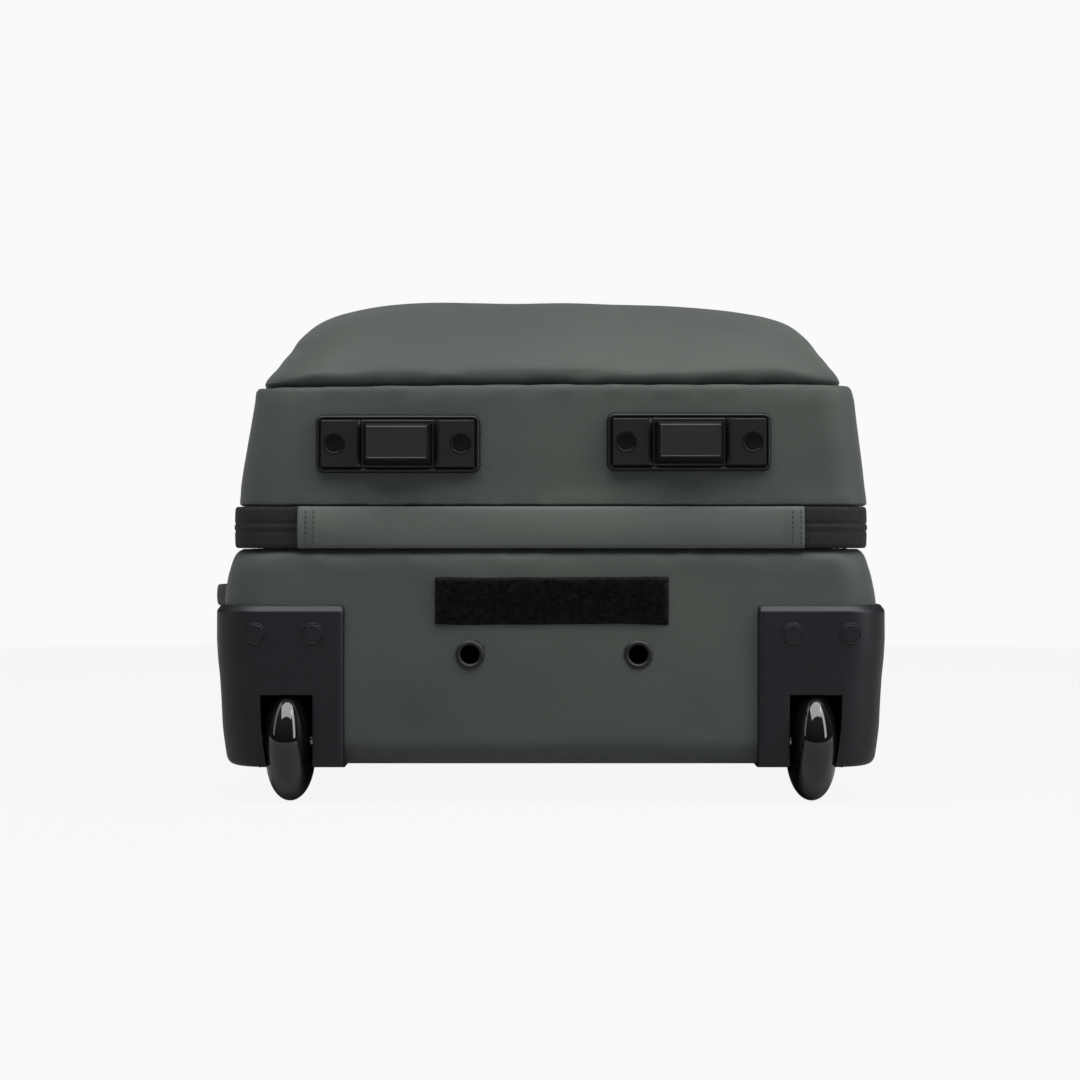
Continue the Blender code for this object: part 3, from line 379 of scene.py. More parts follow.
# Height over the back panel as a share of 113.7 mm, half width as a share, how far base and top end draw
# back in mm
BACK_ROWS = (
    (0.000, 0.9240, 10.0), (0.018, 0.9440, 6.8), (0.045, 0.9570, 3.4), (0.085, 0.9680, 0.9),
    (0.136, 0.9750, 0.1), (0.280, 0.9830, 0.0), (0.420, 0.9915, 0.0), (0.567, 1.0000, 0.0),
    (0.752, 0.9950, 0.0), (0.831, 0.9880, 0.0), (0.906, 0.9765, 0.0), (0.955, 0.9660, 0.7),
    (0.985, 0.9545, 2.6), (1.000, 0.9400, 5.5), (0.994, 0.9180, 9.5),
)


def body_rings(rows, low_z, depth, count, base_r=0.022, top_r=0.045):
    """The rounded rectangles that a table of shares gives for a section of that depth over low_z."""
    rows = along([(z * depth, HALF_WIDTH * w, back / 1000) for z, w, back in rows], count)
    z, half, back = rows.T
    return rings(low_z + z, half, back, BODY_LENGTH - back, base_r, top_r)


def cap(ring, count, rise=0.0):
    """Rings that shrink evenly from ring to the middle of its area. What the ring's heights differ from
    their mean fades with the square of the share, and a rise grows with the rest."""
    middle = np.r_[(ring[:, :2].min(axis=0) + ring[:, :2].max(axis=0)) / 2, ring[:, 2].mean()]
    s = np.linspace(1, 0, count)[:, None, None]
    p = middle + (ring[None] - middle) * np.concatenate([s, s, s**2], axis=2)
    p[..., 2] += (1 - s[..., 0] ** 2) * rise
    return p


side, u = body_rings(BACK_ROWS, BACK_Z, BACK_DEPTH, 58)
side_uv = weave(side, u)
normal = outward(side)
level = (side[..., 2] - BACK_Z) / BACK_DEPTH
free = np.clip(np.minimum(level / 0.15, (1 - level) / 0.12), 0, 1)
swell = 0.0010 * free * waves(side * (1, 1, 1.3), 3, 0.13) + 0.0004 * free * waves(side, 5, 0.045)
pucker = 0.00045 * bump(level, 0.95, 0.05) * waves(side, 8, 0.016)
side = side + normal * (swell + pucker)[..., None]
panel = cap(side[0], 26)[::-1]
panel_uv = panel[..., :2].copy()

# Faces are left out for the handle's cup, the eyelets and the wheel wells, whose rims hide the cut edges
EYELET_Z = BACK_Z + 0.512 * BACK_DEPTH
EYELET_X = 0.0885 / 2
EYELET_SHIFT = 0.0016  # the stuffed base panel has pushed both a little to the right
centre = (side[:-1, :-1] + side[1:, 1:]) / 2
cx, cy, cz = centre[..., 0], centre[..., 1], centre[..., 2]
low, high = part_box("handle_cup")
rim = 0.0025
opening = (cy > BODY_LENGTH - 0.02) & (np.abs(cx) < high.x - BAG_X - rim)
opening &= (cz > low.z + rim) & (cz < high.z - rim)
WELL_INNER, WELL_OUTER, WELL_END, WELL_TOP = 0.118, 0.165, 0.058, 0.075
opening |= (cy < WELL_END) & (np.abs(cx) > WELL_INNER) & (np.abs(cx) < WELL_OUTER) & (cz < WELL_TOP)
HOLE = 0.0066
for s in (-1, 1):
    away = np.stack([side[..., 0] - EYELET_SHIFT - s * EYELET_X, side[..., 2] - EYELET_Z], axis=2)
    r = np.linalg.norm(away, axis=2)
    near = (side[..., 1] < 0.05) & (r < HOLE)
    opening |= near[:-1, :-1] & near[1:, 1:] & near[:-1, 1:] & near[1:, :-1]
    onto = away / np.maximum(r, 1e-6)[..., None] * HOLE
    side[..., 0] = np.where(near, EYELET_SHIFT + s * EYELET_X + onto[..., 0], side[..., 0])
    side[..., 2] = np.where(near, EYELET_Z + onto[..., 1], side[..., 2])
centre = (panel[:-1, :-1] + panel[1:, 1:]) / 2
cx, cy = np.abs(centre[..., 0]), centre[..., 1]
in_floor = (cy < WELL_END) & (cx > WELL_INNER) & (cx < WELL_OUTER)
put(
    "back_section", [(side, side_uv, ~opening), (panel, panel_uv, ~in_floor)], fabric,
    replaces=["back_shell"], wall=WALL,
)


# ---- Band between back and main section ----
# Across the base it is one strip of the same twill, folded under at both ends and sewn down with two rows
# of stitches. Round the sides and the top it is black zip tape with a nylon coil along its middle.

SEAM_GAP = 0.0003
BAND_Z = BACK_Z + BACK_DEPTH + SEAM_GAP
BAND_DEPTH = 0.0222
GUSSET_HALF = 0.133
BAND_ROWS = (
    (0.06, 0.9150, 9.5), (0.01, 0.9420, 5.0), (0.005, 0.9590, 1.1), (0.05, 0.9640, 0.2),
    (0.25, 0.9655, 0.0), (0.50, 0.9660, 0.0), (0.75, 0.9655, 0.0), (0.95, 0.9640, 0.2),
    (0.995, 0.9590, 1.1), (0.99, 0.9420, 5.0), (0.95, 0.9150, 9.5),
)
band, u = body_rings(BAND_ROWS, BAND_Z, BAND_DEPTH, 30)
v = lengths(band)
band_uv = weave(band, u)
# The strip has the band's own profile across its straight base edge, taken from one column there
column = np.nonzero((np.abs(band[15, :, 0]) < GUSSET_HALF - 0.001) & (band[15, :, 1] < 0.05))[0][0]
columns = np.linspace(-GUSSET_HALF, GUSSET_HALF, 180)
gusset = grid(columns, *band[:, column, 1:].T[:, :, None])
roll = np.sin(np.pi * np.clip((gusset[..., 2] - BAND_Z) / BAND_DEPTH, 0, 1))
fold = 0.0006 * np.clip((np.abs(gusset[..., 0]) - GUSSET_HALF + 0.0105) / 0.0012, 0, 1)
gusset[..., 1] -= 0.0009 + fold + roll * (0.0014 + 0.0006 * waves(gusset, 21, 0.09))
gusset_uv = np.stack([gusset[..., 0], np.broadcast_to(v[:, None], gusset.shape[:2])], axis=2)
band_fabric = twill("coated polyester twill of the band", "#434844")
put(
    "base_gusset_strip", [(gusset, gusset_uv, None)], band_fabric,
    replaces=["base_gusset"], wall=WALL,
)


def repeat(shape, frames, places):
    """Copies of one small grid as one big one: each copy's (a, b, c) runs along its frame's three vectors
    from its place. The rows that would join one copy to the next are left out."""
    frames = np.broadcast_to(frames, (len(places), 3, 3))
    k, (m, n) = len(places), shape.shape[:2]
    p = np.einsum("mnc,kcd->kmnd", shape, frames) + np.asarray(places)[:, None, None]
    keep = np.ones((k * m - 1, n - 1), bool)
    keep[m - 1::m] = False
    return p.reshape(k * m, n, 3), None, keep


def thread(length, rise, radius, rows=7, around=6):
    """One stitch: a thin round thread that rises from its ends as half a sine wave."""
    t = np.linspace(0, 1, rows)[:, None]
    a = np.linspace(0, 2 * np.pi, around + 1)[None, :]
    thin = radius * np.minimum(1, 4 * np.sqrt(t * (1 - t)) + 0.15)
    return grid(
        (t - 0.5) * length + 0 * a, thin * np.cos(a), np.sin(np.pi * t) * rise + thin * np.sin(a)
    )


def plain(name, colour, roughness, grain=0.0004, depth=0.00003, **more):
    """Moulded or painted surface with a fine grain of that size and small changes of gloss."""
    m, t, bsdf = new_material(name, Base_Color=linear(colour), Roughness=roughness, **more)
    wide = [(noise(t, 25.0, 3.0), "Value")]
    gloss = add_node(t, "MapRange", wide, To_Min=roughness * 0.85, To_Max=roughness * 1.15)
    t.links.new(gloss.outputs[0], bsdf.inputs["Roughness"])
    emboss(t, bsdf, noise(t, 0.5 / grain, 2.0), 0.4, depth)
    return m


def tape(name, colour, sheen=0.10):
    """Woven tape: fine lengthwise ribs, about 0.8 mm apart, crossed by the weft."""
    m, t, bsdf = new_material(
        name, Base_Color=linear(colour), Roughness=0.8, Specular_IOR_Level=0.3, Sheen_Weight=sheen
    )
    uv = add_node(t, "UVMap", uv_map="weave")
    ribs, weft = (
        add_node(
            t, "TexWave", [(uv.outputs[0], "Vector")],
            bands_direction=axis, Scale=0.314 / pitch, Distortion=0.4,
        )
        for axis, pitch in (("Y", 0.0009), ("X", 0.0012))
    )
    height = add_node(t, "Math", [(ribs.outputs[1], 0), (weft.outputs[1], 1)], operation="MULTIPLY")
    emboss(t, bsdf, height.outputs[0], 0.6, 0.0002)
    return m


def stitches(path, normal, pitch=0.0026, thickness=0.0003):
    """Stitches in a row along a line of points: evenly spaced threads, each 0.7 of the pitch long, lying
    along the line with their backs to the normal."""
    path = np.array(path, float)
    length = np.r_[0, np.cumsum(np.linalg.norm(np.diff(path, axis=0), axis=1))]
    at = np.linspace(0, length[-1], int(length[-1] / pitch) + 1)
    at = (at[1:] + at[:-1]) / 2
    places = np.stack([np.interp(at, length, column) for column in path.T], axis=1)
    ahead = np.stack([np.interp(at + 0.0002, length, column) for column in path.T], axis=1) - places
    ahead /= np.linalg.norm(ahead, axis=1, keepdims=True)
    across = np.cross(np.array(normal, float), ahead)
    across /= np.linalg.norm(across, axis=1, keepdims=True)
    frames = np.stack([ahead, across, np.cross(ahead, across)], axis=1)
    return repeat(thread(0.7 * pitch, 0.0004, thickness), frames, places)


sewing = plain("black sewing thread", "#0A0B0A", 0.6, grain=0.0002)
level = np.linspace(0.08, 0.92, 20)
out = -0.0031 - 0.0012 * np.sin(np.pi * level)
rows = [
    np.stack([np.full(20, x0), out, BAND_Z + BAND_DEPTH * level], axis=1)
    for x0 in (-0.1287, -0.1245, 0.1264, 0.1309)
]
put("gusset_stitches", [stitches(row, (0, -1, 0)) for row in rows], sewing)

zip_tape = tape("woven zip tape", "#090A0B", 0.02)
centre = (band[:-1, :-1] + band[1:, 1:]) / 2
keep = ~((centre[..., 1] < 0.022) & (np.abs(centre[..., 0]) < GUSSET_HALF - 0.004))
mid = (band[..., 2] - BAND_Z) / BAND_DEPTH
normal = outward(band)
groove = 0.0003 * bump(mid, 0.50, 0.045) - 0.0004 * (bump(mid, 0.41, 0.02) + bump(mid, 0.59, 0.02))
put(
    "zip_tape_band", [(band + normal * groove[..., None], band_uv, keep)], zip_tape,
    replaces=["zip_band"], wall=WALL,
)


# ---- Main section ----
# A shallower tray of the same twill whose front panel carries the pocket. Its base end carries the stand
# feet.

MAIN_Z = BAND_Z + BAND_DEPTH + SEAM_GAP
MAIN_DEPTH = 0.0623
MAIN_ROWS = (
    (0.020, 0.9150, 9.5), (0.002, 0.9380, 5.2), (0.002, 0.9550, 1.1), (0.015, 0.9580, 0.2),
    (0.070, 0.9560, 0.0), (0.300, 0.9450, 0.0), (0.500, 0.9340, 0.0), (0.700, 0.9225, 0.0),
    (0.880, 0.9130, 0.0), (0.955, 0.9100, 0.2), (0.992, 0.9060, 0.9), (1.000, 0.8950, 2.8),
)


def seam_rise(x):
    """The seam of the pocket climbs 1.4 mm, evenly between 130 and 30 mm left of the middle."""
    return 0.0014 * np.clip((x + 0.13) / 0.10, 0, 1)


side, u = body_rings(MAIN_ROWS, MAIN_Z, MAIN_DEPTH, 44)
side_uv = weave(side, u)
level = (side[..., 2] - MAIN_Z) / MAIN_DEPTH
free = np.clip(np.minimum(level / 0.15, (1 - level) / 0.12), 0, 1)
swell = 0.0008 * free * waves(side, 31, 0.12) + 0.0003 * free * waves(side, 33, 0.04)
pucker = 0.0004 * (bump(level, 0.96, 0.06) + bump(level, 0.03, 0.06)) * waves(side, 35, 0.015)
side = side + outward(side) * (swell + pucker)[..., None]
side[..., 0] += 0.0016
side[..., 2] += seam_rise(side[..., 0]) * np.clip((level - 0.7) / 0.3, 0, 1)


def tray(name, side, side_uv, node):
    """A fabric section from its wall, closed in front by rings that shrink to its middle."""
    front = cap(side[-1], 22)
    put(
        name, [(side, side_uv, None), (front, front[..., :2].copy(), None)], fabric,
        replaces=[node], wall=WALL,
    )


tray("main_section", side, side_uv, "main_body")


# ---- Front pocket ----
# A domed pocket of the same twill, fuller towards the front, sewn all round to the main section's front
# panel.

POCKET_Z = MAIN_Z + MAIN_DEPTH + SEAM_GAP
POCKET_DEPTH = 0.0515
# Height as a share, half width as a share, how far both ends draw back in mm, corner radius in mm
POCKET_ROWS = (
    (-0.01, 0.860, 8.6, 24.0), (0.000, 0.874, 6.0, 25.0), (0.045, 0.8845, 3.4, 27.0),
    (0.100, 0.8780, 2.0, 29.0), (0.160, 0.8660, 2.4, 30.5), (0.236, 0.8500, 5.2, 31.5),
    (0.410, 0.8255, 12.5, 34.5), (0.585, 0.7935, 21.0, 37.5), (0.740, 0.7540, 31.0, 39.0),
    (0.838, 0.7050, 38.5, 43.0), (0.915, 0.6450, 46.0, 52.0), (0.967, 0.5810, 54.0, 57.0),
    (1.000, 0.5170, 66.0, 57.0),
)
rows = [(z * POCKET_DEPTH, HALF_WIDTH * w, back / 1000, r / 1000) for z, w, back, r in POCKET_ROWS]
rows = along(rows, 64)
z, half, back, radius = rows.T
side, u = rings(POCKET_Z + z, half, back, BODY_LENGTH - back, radius, radius)
side_uv = weave(side, u)
level = (side[..., 2] - POCKET_Z) / POCKET_DEPTH
low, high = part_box("front_zip")
free = np.clip(level / 0.2, 0, 1) * (1 - bump(side[..., 1], (low.y + high.y) / 2 - BAG_Y, 0.030))
swell = 0.0009 * free * waves(side, 41, 0.10) + 0.0004 * free * waves(side, 43, 0.035)
pucker = 0.0006 * bump(level, 0.05, 0.09) * waves(side, 45, 0.02)
# Dents where the cloth gives just over the seam: place along the base edge, height share, half length,
# depth in mm
for x0, z0, long, deep in (
    (-118, 0.20, 17, 0.6), (-88, 0.13, 15, 0.7), (-52, 0.15, 26, 1.1), (-17, 0.12, 21, 1.0),
    (16, 0.13, 24, 1.1), (49, 0.12, 18, 0.8), (83, 0.18, 19, 0.7), (117, 0.15, 13, 0.5),
    (-141, 0.42, 9, 1.0), (139, 0.40, 11, 0.6),
):
    near = bump(side[..., 0], x0 / 1000, long / 1000) * bump(level, z0, 0.085) * (side[..., 1] < 0.1)
    pucker = pucker - near * deep / 1000
side = side + outward(side) * (swell + pucker)[..., None]
# Its base end is packed fuller to the left of the middle than to the right, and its seam climbs
x = side[..., 0]
crest = 0.0017 * (bump(x, -0.084, 0.036) - bump(x, 0.088, 0.036)) - 0.0005 * bump(x, 0, 0.045)
side[..., 2] += crest * np.clip((level - 0.6) / 0.4, 0, 1) * np.clip((0.25 - side[..., 1]) / 0.10, 0, 1)
side[..., 2] += seam_rise(x) * np.clip(1 - level / 0.4, 0, 1)
# It leans to the right, less at its seam and not at its top edge
lean = 0.0018 - 0.0028 * bump(side[..., 2], 0.2720, 0.004) - 0.0012 * bump(level, 0, 0.12)
side[..., 0] += lean
tray("pocket_dome", side, side_uv, "front_pocket")


# ---- Loop patch and eyelets ----
# A strip of loop fastener is sewn to the base panel. Under it two pressed steel eyelets, painted black, go
# through the fabric, and their barrels are turned over behind it.

PATCH_Z = BACK_Z + 0.7605 * BACK_DEPTH
half_x, half_z = 0.0614, 0.01245
rng = np.random.default_rng(12)
gx, gz = np.meshgrid(np.linspace(-half_x, half_x, 123), np.linspace(-half_z, half_z, 26))
edge = np.minimum(half_x - np.abs(gx), half_z - np.abs(gz))
gy = -0.0004 - 0.0009 * np.clip(edge / 0.0012, 0, 1) ** 0.5 - 0.0002 * rng.random(gx.shape)
gz = gz + 0.0004 * waves(np.stack([gx, gz, gz], axis=2), 61, 0.03) * np.abs(gz) / half_z
backing = np.stack([gx + 0.0004, gy, PATCH_Z + gz], axis=2)
loop = thread(0.0013, 0.0011, 0.00013, rows=5, around=4)
many = 5200
places = np.stack([
    rng.uniform(-half_x + 0.0012, half_x - 0.0012, many), np.full(many, -0.0013),
    PATCH_Z + rng.uniform(-half_z + 0.0012, half_z - 0.0012, many),
], axis=1)
turn = rng.uniform(0, np.pi, many)
lean = rng.normal(0, 0.35, (many, 2))
out = np.stack([lean[:, 0], -np.ones(many), lean[:, 1]], axis=1)
out /= np.linalg.norm(out, axis=1, keepdims=True)
first = np.stack([np.cos(turn), np.zeros(many), np.sin(turn)], axis=1)
first -= out * (first * out).sum(axis=1, keepdims=True)
first /= np.linalg.norm(first, axis=1, keepdims=True)
frames = np.stack([first, np.cross(out, first), out], axis=1)
pile, t, bsdf = new_material("nylon loop pile", Roughness=0.7, Specular_IOR_Level=0.08)
# Tufts a millimetre or two across lie one way or another, and so look darker or lighter
tone = ramp(t, noise(t, 420.0, 3.0, 0.7), (0.42, linear("#020302")), (0.70, linear("#151715")))
t.links.new(tone, bsdf.inputs["Base Color"])
put(
    "loop_fastener", [(backing, None, None), repeat(loop, frames, places)], pile,
    replaces=["loop_patch"],
)


def rounded(points, radius, steps=6):
    """A line of points whose inner corners are cut: each gets a parabola that starts and ends radius from
    it."""
    p = np.array(points, float)
    out = [p[:1]]
    for before, corner, after, r in zip(p, p[1:], p[2:], np.broadcast_to(radius, len(p))[1:]):
        a, b = before - corner, after - corner
        la, lb = np.linalg.norm(a), np.linalg.norm(b)
        r = min(r, 0.48 * la, 0.48 * lb)
        t = np.linspace(0, 1, steps)[:, None]
        start, end = corner + a / la * r, corner + b / lb * r
        out.append((1 - t) ** 2 * start + 2 * t * (1 - t) * corner + t * t * end)
    return np.concatenate(out + [p[-1:]])


def turned(profile, centre, axis="Y", steps=72):
    """A surface of revolution. Each profile point is (distance along the axis, radius), from centre."""
    along, radius = np.array(profile, float).T[:, :, None]
    a = np.linspace(0, 2 * np.pi, steps + 1)[None, :]
    c, s, l = radius * np.cos(a), radius * np.sin(a), along + 0 * a
    p = np.stack([l, c, s] if axis == "X" else [c, l, s], axis=2) + centre
    run = np.cumsum(np.r_[0, np.hypot(*np.diff(np.array(profile, float), axis=0).T)])
    uv = grid(a * radius.max(), run[:, None])
    return p, uv, None


eyelet = rounded(
    [(-0.0003, 0.0075), (-0.0008, 0.0075), (-0.0017, 0.0063), (-0.0009, 0.0049), (0.0060, 0.0049)],
    (0, 0.0006, 0.0013, 0.0011, 0),
)
painted_steel = plain("black painted steel", "#080809", 0.45, Specular_IOR_Level=0.3)
SIDES = (("left", -1), ("right", 1))
for name, s in SIDES:
    put(
        f"eyelet_ring_{name}", [turned(eyelet, (EYELET_SHIFT + s * EYELET_X, 0, EYELET_Z))], painted_steel,
        replaces=[f"eyelet_{name}"], wall=0.0005,
    )


# ---- Stand feet ----
# Two moulded feet of black polypropylene. Each is one plate with a pad and a raised block, whose ends sweep
# down to the pad in hollow ramps, held by two glossy rivets.

moulded = plain(
    "black polypropylene", "#0A0B0F", 0.44, Specular_IOR_Level=0.3, Specular_Tint=(0.94, 0.95, 1.0, 1)
)
# Rivets of the feet: their own black, darkened further as painted shade of the counterbores they sit in
glossy = plain("black nylon darkened with painted shade", "#040404", 0.35, Specular_IOR_Level=0.12)
FOOT_Z = MAIN_Z + 0.52 * MAIN_DEPTH
grained_and_shaded, t, bsdf = new_material(
    "black polypropylene with painted shade in its depths", Roughness=0.38, Specular_IOR_Level=0.35
)
# Painted shade: the colour darkens from the foot's raised faces down into its depths, where shade falls.
# The height over the base panel is kept in the second of the UV coordinates
uv = add_node(t, "UVMap", uv_map="weave")
parts = add_node(t, "SeparateXYZ", [(uv.outputs[0], 0)])
over = add_node(t, "MapRange", [(parts.outputs[1], "Value")], From_Min=0.0, From_Max=0.0136)
tone = ramp(t, over.outputs[0], (0.30, linear("#020202")), (0.95, linear("#121316")))
t.links.new(tone, bsdf.inputs["Base Color"])
emboss(t, bsdf, noise(t, 1200.0, 2.0), 0.4, 0.00003)


def spread(stops, step):
    """Values that pass through every stop, with steps no longer than step between them."""
    stops = sorted(stops)
    pieces = [
        np.linspace(a, b, max(2, int(np.ceil((b - a) / step)) + 1))[:-1] for a, b in zip(stops, stops[1:])
    ]
    return np.r_[np.concatenate(pieces), stops[-1]]


def foot(x0, foot_z):
    """The foot as heights over the base panel. Columns run along it. Rows across it end on its rounded
    outline: they are shares of the half width there. The height is the plate's, less a groove inside its
    rim, plus at both ends that of a pad, plus the block's in the middle. Rims are quarter ellipses. The
    block's sides slope straight, but the upper one is a quarter ellipse too, and its edges are slightly
    proud."""
    length, width, corner = 0.04325, 0.0154, 0.0045
    x = spread([s * v for s in (-1, 1) for v in (
        length, length - 0.0004, length - 0.001, length - 0.0028, length - 0.0034,
        0.0242, 0.0218, 0.0176, 0.0160, 0.0156,
    )] + [0], 0.0005)[None, :]
    inside = np.clip(corner - (length - np.abs(x)), 0, corner)
    top = width - (corner - np.sqrt(corner**2 - inside**2))
    share = spread([s * v / width for s in (-1, 1) for v in (
        width, width - 0.0003, width - 0.0009, 0.0126, 0.0120, 0.0115, 0.0105, 0.0081, 0.0076
    )] + [0], 0.02)[:, None]
    z = share * top
    edge = np.minimum(length - np.abs(x), top - np.abs(z))

    def rise(distance, width):
        return np.sqrt(np.clip(1 - (1 - np.clip(distance / width, 0, 1)) ** 2, 0, 1))

    pad = np.minimum(rise(np.abs(x) - 0.0190, 0.0040), rise(edge - 0.0028, 0.0009))
    sides = np.minimum((0.0178 - np.abs(x)) / 0.0020, (0.0115 + z) / 0.0034)
    raised = np.minimum(np.clip(sides, 0, 1), rise(0.0105 - z, 0.0024))
    raised = raised + 0.03 * bump(sides, 1.0, 0.15) * (z < 0.0105)
    h = 0.0003 + 0.0030 * rise(edge, 0.0015) - 0.0008 * bump(edge, 0.0026, 0.0004)
    h = h + 0.0026 * pad + 0.0102 * raised
    h = np.where(edge < 1e-9, 0.0001, h)
    points = grid(x0 + x, -h, foot_z + z)
    return points, grid(x, h), None


foot_rivet = rounded(
    [(0, 0.0056), (-0.0004, 0.0056), (-0.0004, 0.0050), (0.0000, 0.0046), (-0.0002, 0.0020), (-0.0003, 0)],
    0.0005,
)
for name, x0, foot_z in (("left", -0.0803, FOOT_Z), ("right", 0.0724, FOOT_Z + 0.0010)):
    put(f"foot_{name}", [foot(x0, foot_z)], grained_and_shaded, replaces=[f"stand_foot_{name}"])
    for i, s in enumerate((-1, 1)):
        centre = (x0 + s * 0.0331, -0.0059, foot_z)
        put(
            f"rivet_foot_{name}_{i}", [turned(foot_rivet, centre, steps=48)], glossy,
            replaces=[f"foot_rivet_{name}_{i}"],
        )


# ---- Wheel housings ----
# Moulded corners of black polypropylene that wrap base, side and back, each with a well for its wheel and
# two rivets. The upper edge is chamfered, and so are the edges of the well's mouth.

OUT = 0.0035  # how far the housing stands out of the fabric
AXLE_Y, AXLE_Z, WHEEL_X = 0.0185, 0.032, 0.1388
REACH = 0.062
BOTTOM, TOP = 0.0194, 0.1046
ARCH = 0.0345
HOUSING_INNER = 0.1085
WELL_HALF = 0.01375
# Height, half width over both housings, in mm
HOUSING_WIDTHS = (
    (19, 172.5), (27, 173.8), (34, 174.8), (40, 175.5), (53, 176.1), (66, 176.9), (76, 178.0), (86, 178.6),
    (106, 178.5),
)


def arch_z(y):
    """Height of the well's roof, a circle round the axle."""
    return AXLE_Z + np.sqrt(np.clip(ARCH**2 - (y - AXLE_Y) ** 2, 0, None))


def housing(side):
    """Patches of one housing. Its skin follows the bag's corner, seen from the front as straight, quarter
    circle, straight, and for each row of the profile it is drawn in by that row's inset. Rows are (inset,
    height)."""
    lip = float(arch_z(-OUT)) - 0.0010
    inner, outer = WHEEL_X - WELL_HALF, WHEEL_X + WELL_HALF
    corner = 0.0252
    profile = rounded(
        [(0.0210, BOTTOM), (0, BOTTOM), (0, TOP - 0.0032), (0.0024, TOP), (0.0036, TOP)],
        (0, 0.0050, 0.0009, 0.0009, 0),
    )
    inset, z = profile.T
    upper = spread([z[6], 0.030, lip, lip + 0.0007, 0.09, z[7]], 0.003)[1:-1]
    inset = np.r_[np.linspace(0.0210, inset[1], 8)[:-1], inset[1:7], 0 * upper, inset[7:]][:, None]
    z = np.r_[np.full(7, BOTTOM), z[1:7], upper, z[7:]][:, None]
    taper = np.array(HOUSING_WIDTHS).T
    half = np.interp(z, taper[0] / 1000, taper[1] / 1000)
    b = 0.0022
    front = spread([
        HOUSING_INNER, 0.1087, 0.1092, 0.1107, inner - 0.0007, inner, outer, outer + 0.0007,
        half.min() - corner - 0.00005,
    ], 0.003)
    turn = np.linspace(0, np.pi / 2, 25)[1:]
    side_y = spread([corner - OUT, REACH - b, REACH - 0.0007, REACH - 0.0002, REACH], 0.004)[1:]
    n = (len(front), len(turn), len(side_y))
    x = np.concatenate([
        front + (half - half.min()) * np.clip((front - outer - 0.0007) / 0.001, 0, 1),
        half - corner + corner * np.sin(turn), np.broadcast_to(half, (len(z), n[2])),
    ], axis=1)
    y = np.broadcast_to(np.r_[np.full(n[0], -OUT), corner - OUT - corner * np.cos(turn), side_y], x.shape)
    nx = np.r_[np.zeros(n[0]), -np.sin(turn), -np.ones(n[2])]
    ny = np.r_[np.ones(n[0]), np.cos(turn), np.zeros(n[2])]
    border = np.minimum(
        np.r_[front - HOUSING_INNER, np.full(n[1] + n[2], 1)],
        np.r_[np.full(n[0] + n[1], 1), REACH - side_y],
    )
    draw = (OUT - 0.0002) * (1 - np.sqrt(np.clip(1 - (1 - np.clip(border / b, 0, 1)) ** 2, 0, 1)))
    mouth = (y == -OUT) & (z < lip + 1e-6) & ((np.abs(x - inner) < 1e-6) | (np.abs(x - outer) < 1e-6))
    mouth |= (y == -OUT) & (np.abs(z - lip) < 1e-6) & (x > inner - 1e-6) & (x < outer + 1e-6)
    d = inset + draw * (z > BOTTOM + 0.001) + 0.0005 * mouth * (z > BOTTOM + 0.004)
    skin = np.stack([x + nx * d, y + ny * d, z + 0 * x], axis=2)
    middle = (x[:-1, :-1] + x[:-1, 1:]) / 2
    cut = (y[:-1, 1:] == -OUT) & (middle > inner) & (middle < outer) & (z[1:] < lip + 1e-6)
    well_mouth, well_end = -OUT + 0.0005, AXLE_Y + ARCH
    wall_y = np.linspace(well_mouth, well_end, 40)[None, :]
    wall_z = BOTTOM + (arch_z(wall_y) - BOTTOM) * np.linspace(0, 1, 12)[:, None]
    a = np.linspace(np.arccos((well_mouth - AXLE_Y) / ARCH), 0, 30)
    roof_y, roof_z = np.r_[AXLE_Y + ARCH * np.cos(a), well_end], np.r_[AXLE_Z + ARCH * np.sin(a), BOTTOM]
    under_x = np.array([HOUSING_INNER, inner, outer, half[0, 0] - 0.018])[None, :]
    under_y = np.array([0.0, 0.0185, well_end, REACH])[:, None]
    patches = [
        (skin, ~cut), (grid(inner, wall_y, wall_z), None), (grid(outer, wall_y, wall_z), None),
        (grid(np.linspace(inner, outer, 5)[:, None], roof_y, roof_z), None),
        (grid(under_x, under_y, BOTTOM + 0.0001), np.array([[1, 0, 0], [1, 0, 1], [1, 1, 1]], bool)),
    ]
    return [(p * (side, 1, 1), None, keep) for p, keep in patches]


rivet = rounded(
    [(0, 0.0057), (-0.0006, 0.0057), (-0.0008, 0.0051), (-0.0003, 0.0048), (-0.0008, 0.0044), (-0.0011, 0)],
    0.0003,
)
for name, s in SIDES:
    put(f"housing_{name}", housing(s), moulded, replaces=[f"wheel_housing_{name}"])
    for i, t in enumerate((-0.5, 0.5)):
        x0 = s * ((HOUSING_INNER + HALF_WIDTH) / 2 + t * 0.0302) + (s < 0) * 0.0018
        put(
            f"rivet_{name}_{i}", [turned(rivet, (x0, -OUT, 0.0900), steps=48)], moulded,
            replaces=[f"housing_rivet_{name}_{i}"],
        )


# ---- Wheels ----
# In-line skate wheels: a clear-cast black urethane tread, polished by its mould, round a nylon core. They
# turn freely on steel axles that the housings hold.

